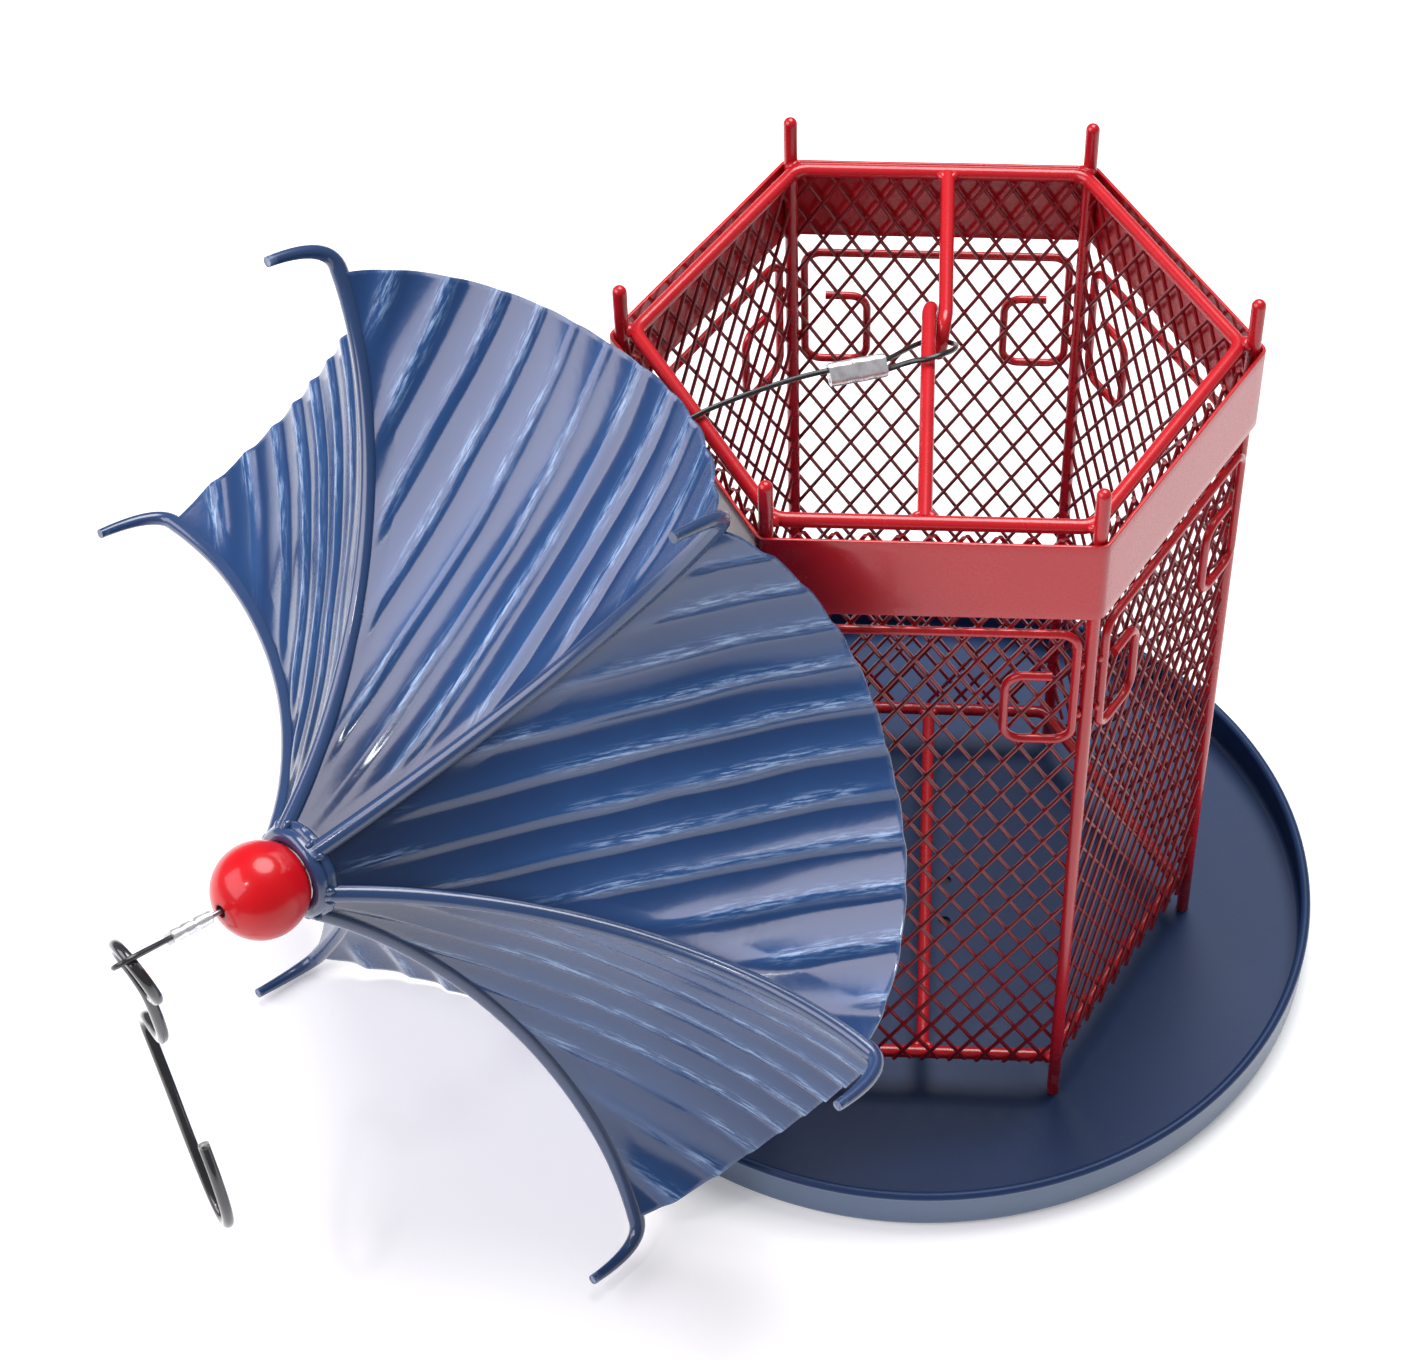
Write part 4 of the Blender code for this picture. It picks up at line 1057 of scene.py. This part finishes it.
def make_ribs():
    corner = FINE_RIB[-1]
    tip = corner + Vector((RIB_TIP_REACH, 0, RIB_TIP_RISE))
    bend = corner + Vector((RIB_TIP_REACH, 0, 0))
    steps = 14
    flick = [bezier([corner, bend, tip], step / steps) for step in range(1, steps + 1)]
    thin = [1 + (RIB_TIP / RIB - 1) * step / steps for step in range(1, steps + 1)]
    points = [RIB_ROOT] + FINE_RIB[::2] + flick
    rib = bent_wire("rib", points, RIB, thickness=[1] * (len(points) - steps) + thin, sides=20, end_round=0.40)
    for vert in rib.data.vertices:
        vert.co.z += noise.noise(vert.co * 60) * RIB_WAVER
    mark_worn_edges(rib)
    six_of(rib, "curved_rib", lambda index: ROOF_TOP @ face_turn(index), BLUE, "roof", "blue_powder_coat", "roof_rib")


def sheet_point(down, across):
    """A point of the plain roof sheet about +X: down 0 to 1 from top to eave, across -1 to 1 between the ribs."""
    lean_in = math.cos(HALF_FACE)
    eave = ROOF_CORNER_RADIUS * lean_in + EAVE_BULGE * (1 - abs(across) ** BULGE_POWER)
    out = PANEL_TOP_RADIUS + (eave - PANEL_TOP_RADIUS) * down
    edge = out * math.tan(HALF_FACE) - RIB * 0.32 / lean_in
    corner_out = PANEL_TOP_RADIUS / lean_in
    height = rib_height(corner_out + (ROOF_CORNER_RADIUS - corner_out) * down)
    sag = EAVE_SAG * down ** 2 * (1 - abs(across) ** SAG_POWER)
    return Vector((out, edge * across, height - sag))


def groove(point, seed):
    """A pleat's height, about 0 to 1, and how near its crest is. Each falls slowly and then rises steeply."""
    drift = noise.noise(Vector((point.x * 12, point.y * 26, seed))) * 0.20
    drift += noise.noise(Vector((point.x * 70, point.y * 60, seed + 4))) * 0.035
    turn = (point.y / GROOVE_PITCH * (1 + 0.10 * (1 - point.x / ROOF_CORNER_RADIUS)) + drift) % 1.0
    if turn < GROOVE_FALL_share:
        height = (1 - turn / GROOVE_FALL_share) ** 1.6
    else:
        rise = (turn - GROOVE_FALL_share) / (1 - GROOVE_FALL_share)
        height = rise * rise * (3 - 2 * rise)
    force = 0.90 + 0.45 * noise.noise(Vector((point.x * 16, point.y * 50, seed + 9)))
    from_crest = min(turn, 1 - turn) * GROOVE_PITCH
    return height * force, math.exp(-(from_crest / GROOVE_LINE) ** 2)


def make_roof_sheets():
    probe = 0.004
    for index in range(FACES):
        bpy.ops.mesh.primitive_grid_add(x_subdivisions=96, y_subdivisions=220, size=2, location=(0, 0, 0))
        sheet = added(f"pressed_sheet_{index + 1}")
        crests, lines, hair_wear_and_highlight, places = [], [], [], []
        for vert in sheet.data.vertices:
            down = (vert.co.x + 1) / 2
            across = vert.co.y
            point = sheet_point(down, across)
            below = min(down + probe, 1)
            right = min(across + probe, 1)
            along = sheet_point(below, across) - sheet_point(below - probe * 2, across)
            beside = sheet_point(down, right) - sheet_point(down, right - probe * 2)
            normal = along.cross(beside).normalized()
            height, line = groove(point, index * 7.3)
            to_rib = (1 - abs(across)) * abs(point.x) * math.tan(HALF_FACE)
            hold = min(to_rib / FLAT_AT_RIB, 1) * min((point.x - PANEL_TOP_RADIUS) / FLAT_AT_COLLAR + 0.05, 1)
            dent = noise.noise(point * 30 + Vector((index * 3.1, 0, 0))) * SHEET_DENT
            patch = noise.noise(Vector((point.x * 35, point.y * 90, index * 9.1)))
            vert.co = point + normal * ((height - 0.45) * GROOVE_DEPTH + dent) * hold
            crests.append(height * hold)
            lines.append(line * hold)
            # Patches where the pale crest hairs show, partly paint wear and partly painted highlight; more of them
            # towards the eave.
            hair_wear_and_highlight.append(min(max(0.60 + patch * 0.9 + (down - 0.6) * 0.5, 0), 1))
            places += [point.x, point.y, index * 0.37]
        for name, values in (("groove_crest", crests), ("groove_line", lines), ("hair_patches_wear_and_highlight", hair_wear_and_highlight)):
            keep_on_points(sheet, name, values)
        on_sheet = sheet.data.attributes.new("sheet_place", "FLOAT_VECTOR", "POINT")
        on_sheet.data.foreach_set("vector", places)
        modified(sheet, "SOLIDIFY", thickness=ROOF_SHEET, offset=0)
        round_over(sheet, SHEET_EDGE_ROUND, 2, 60)
        mark_worn_edges(sheet, 15, 60)
        smooth(sheet, 50)
        settle(sheet, ROOF_TOP @ Matrix.Rotation((index + 0.5) * FACE_ANGLE, 4, "Z"))
        dressed(sheet, ROOF_BLUE, "roof", "blue_powder_coat", f"roof_panel_{index + 1}")


def round_ring(name, radius, thickness, around, sides, rise):
    bpy.ops.mesh.primitive_torus_add(major_radius=radius, minor_radius=thickness / 2, major_segments=around,
                                     minor_segments=sides, location=(0, 0, rise))
    return settle(added(name))


def make_collar():
    collar = round_ring("thick_collar", COLLAR_RING_RADIUS, COLLAR_WIRE * 1.08, 96, 28, COLLAR_RISE)
    edit(collar)
    pick(collar, lambda vert: vert.co.z > COLLAR_RISE + COLLAR_WIRE * 0.30
         and vert.co.xy.length < COLLAR_RING_RADIUS + 0.0006)
    bpy.ops.transform.translate(value=(0, 0, -COLLAR_SEAT_DEPTH), use_proportional_edit=True,
                                proportional_size=COLLAR_SEAT_WIDTH)
    done()
    for vert in collar.data.vertices:
        vert.co += vert.co.normalized() * noise.noise(vert.co * 160) * COLLAR_WAVER
    mark_worn_edges(collar, 20, 50)
    smooth(collar, 60)
    settle(collar, ROOF_TOP)
    dressed(collar, BLUE, "roof", "blue_powder_coat", "roof_collar")
    seam = round_ring("collar_weld_seam", SEAM_RADIUS, SEAM_WIDTH, 120, 20, SEAM_RISE)
    for vert in seam.data.vertices:
        vert.co += Vector((vert.co.x, vert.co.y, SEAM_WIDTH)).normalized() * noise.noise(vert.co * 420) * SEAM_LUMP
    smooth(seam, 80)
    settle(seam, ROOF_TOP)
    dressed(seam, BLUE, "roof", "blue_powder_coat")
    spots = []
    for index in range(FACES):
        turn = (ROOF_TOP @ face_turn(index)).to_3x3()
        for side in (1, -1):
            spot = ROOF_TOP @ face_turn(index) @ (ROOF_WELD_PLACE * Vector((1, side, 1)))
            spots.append((spot, turn @ Vector((0.8, side * 0.4, -0.8)), 1.0))
    weld_bead("roof_welds", spots, ROOF_WELD, BLUE, "roof", "blue_powder_coat", 11)


def make_ball():
    bpy.ops.mesh.primitive_uv_sphere_add(segments=72, ring_count=48, radius=BALL_RADIUS, location=(0, 0, 0))
    ball = added("turned_ball")
    edit(ball, "FACE")
    pick(ball, lambda face: face.calc_center_median().xy.length < BALL_BORE / 2, "FACE")
    bpy.ops.mesh.delete(type="FACE")
    pick(ball, lambda edge: edge.is_boundary, "EDGE")
    bpy.ops.mesh.bridge_edge_loops()
    pick(ball, lambda edge: edge.calc_face_angle(0) > math.radians(50), "EDGE")
    bpy.ops.mesh.bevel(offset=BALL_BORE_ROUND, segments=3, affect="EDGES")
    done()
    outward(ball)
    keep_on_points(ball, "worn_edge", [float(vert.co.xy.length < BALL_BORE * 0.62) for vert in ball.data.vertices])
    smooth(ball, 45)
    settle(ball, ROOF_TOP @ Matrix.Translation(UP * BALL_RISE))
    dressed(ball, BALL_RED, "ball", "ball_red", "finial_ball")


set_camera()
cable, route = make_cable()
upper_place = ROOF_TOP @ UPPER_FERRULE_TURN @ Matrix.Translation(
    (STRAND_SPACING / 2, 0, UPPER_FERRULE_RISE + UPPER_FERRULE_LENGTH / 2))
lower_ferrule = make_ferrule("lower_sleeve", LOWER_FERRULE_LENGTH, lower_ferrule_frame(), "feeder", "lower_ferrule")
upper_ferrule = make_ferrule("upper_sleeve", UPPER_FERRULE_LENGTH, upper_place, "roof", "upper_ferrule")
make_hook()
cable_length = sum((b - a).length for a, b in zip(route, route[1:]))
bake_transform(cable)
tuple(route[0])
make_tray()
make_posts()
make_screws()
make_rings()
make_cross_bars()
make_band()
make_mesh_panels()
make_frets()
make_cage_welds()
make_ribs()
make_roof_sheets()
make_collar()
make_ball()
set_studio()
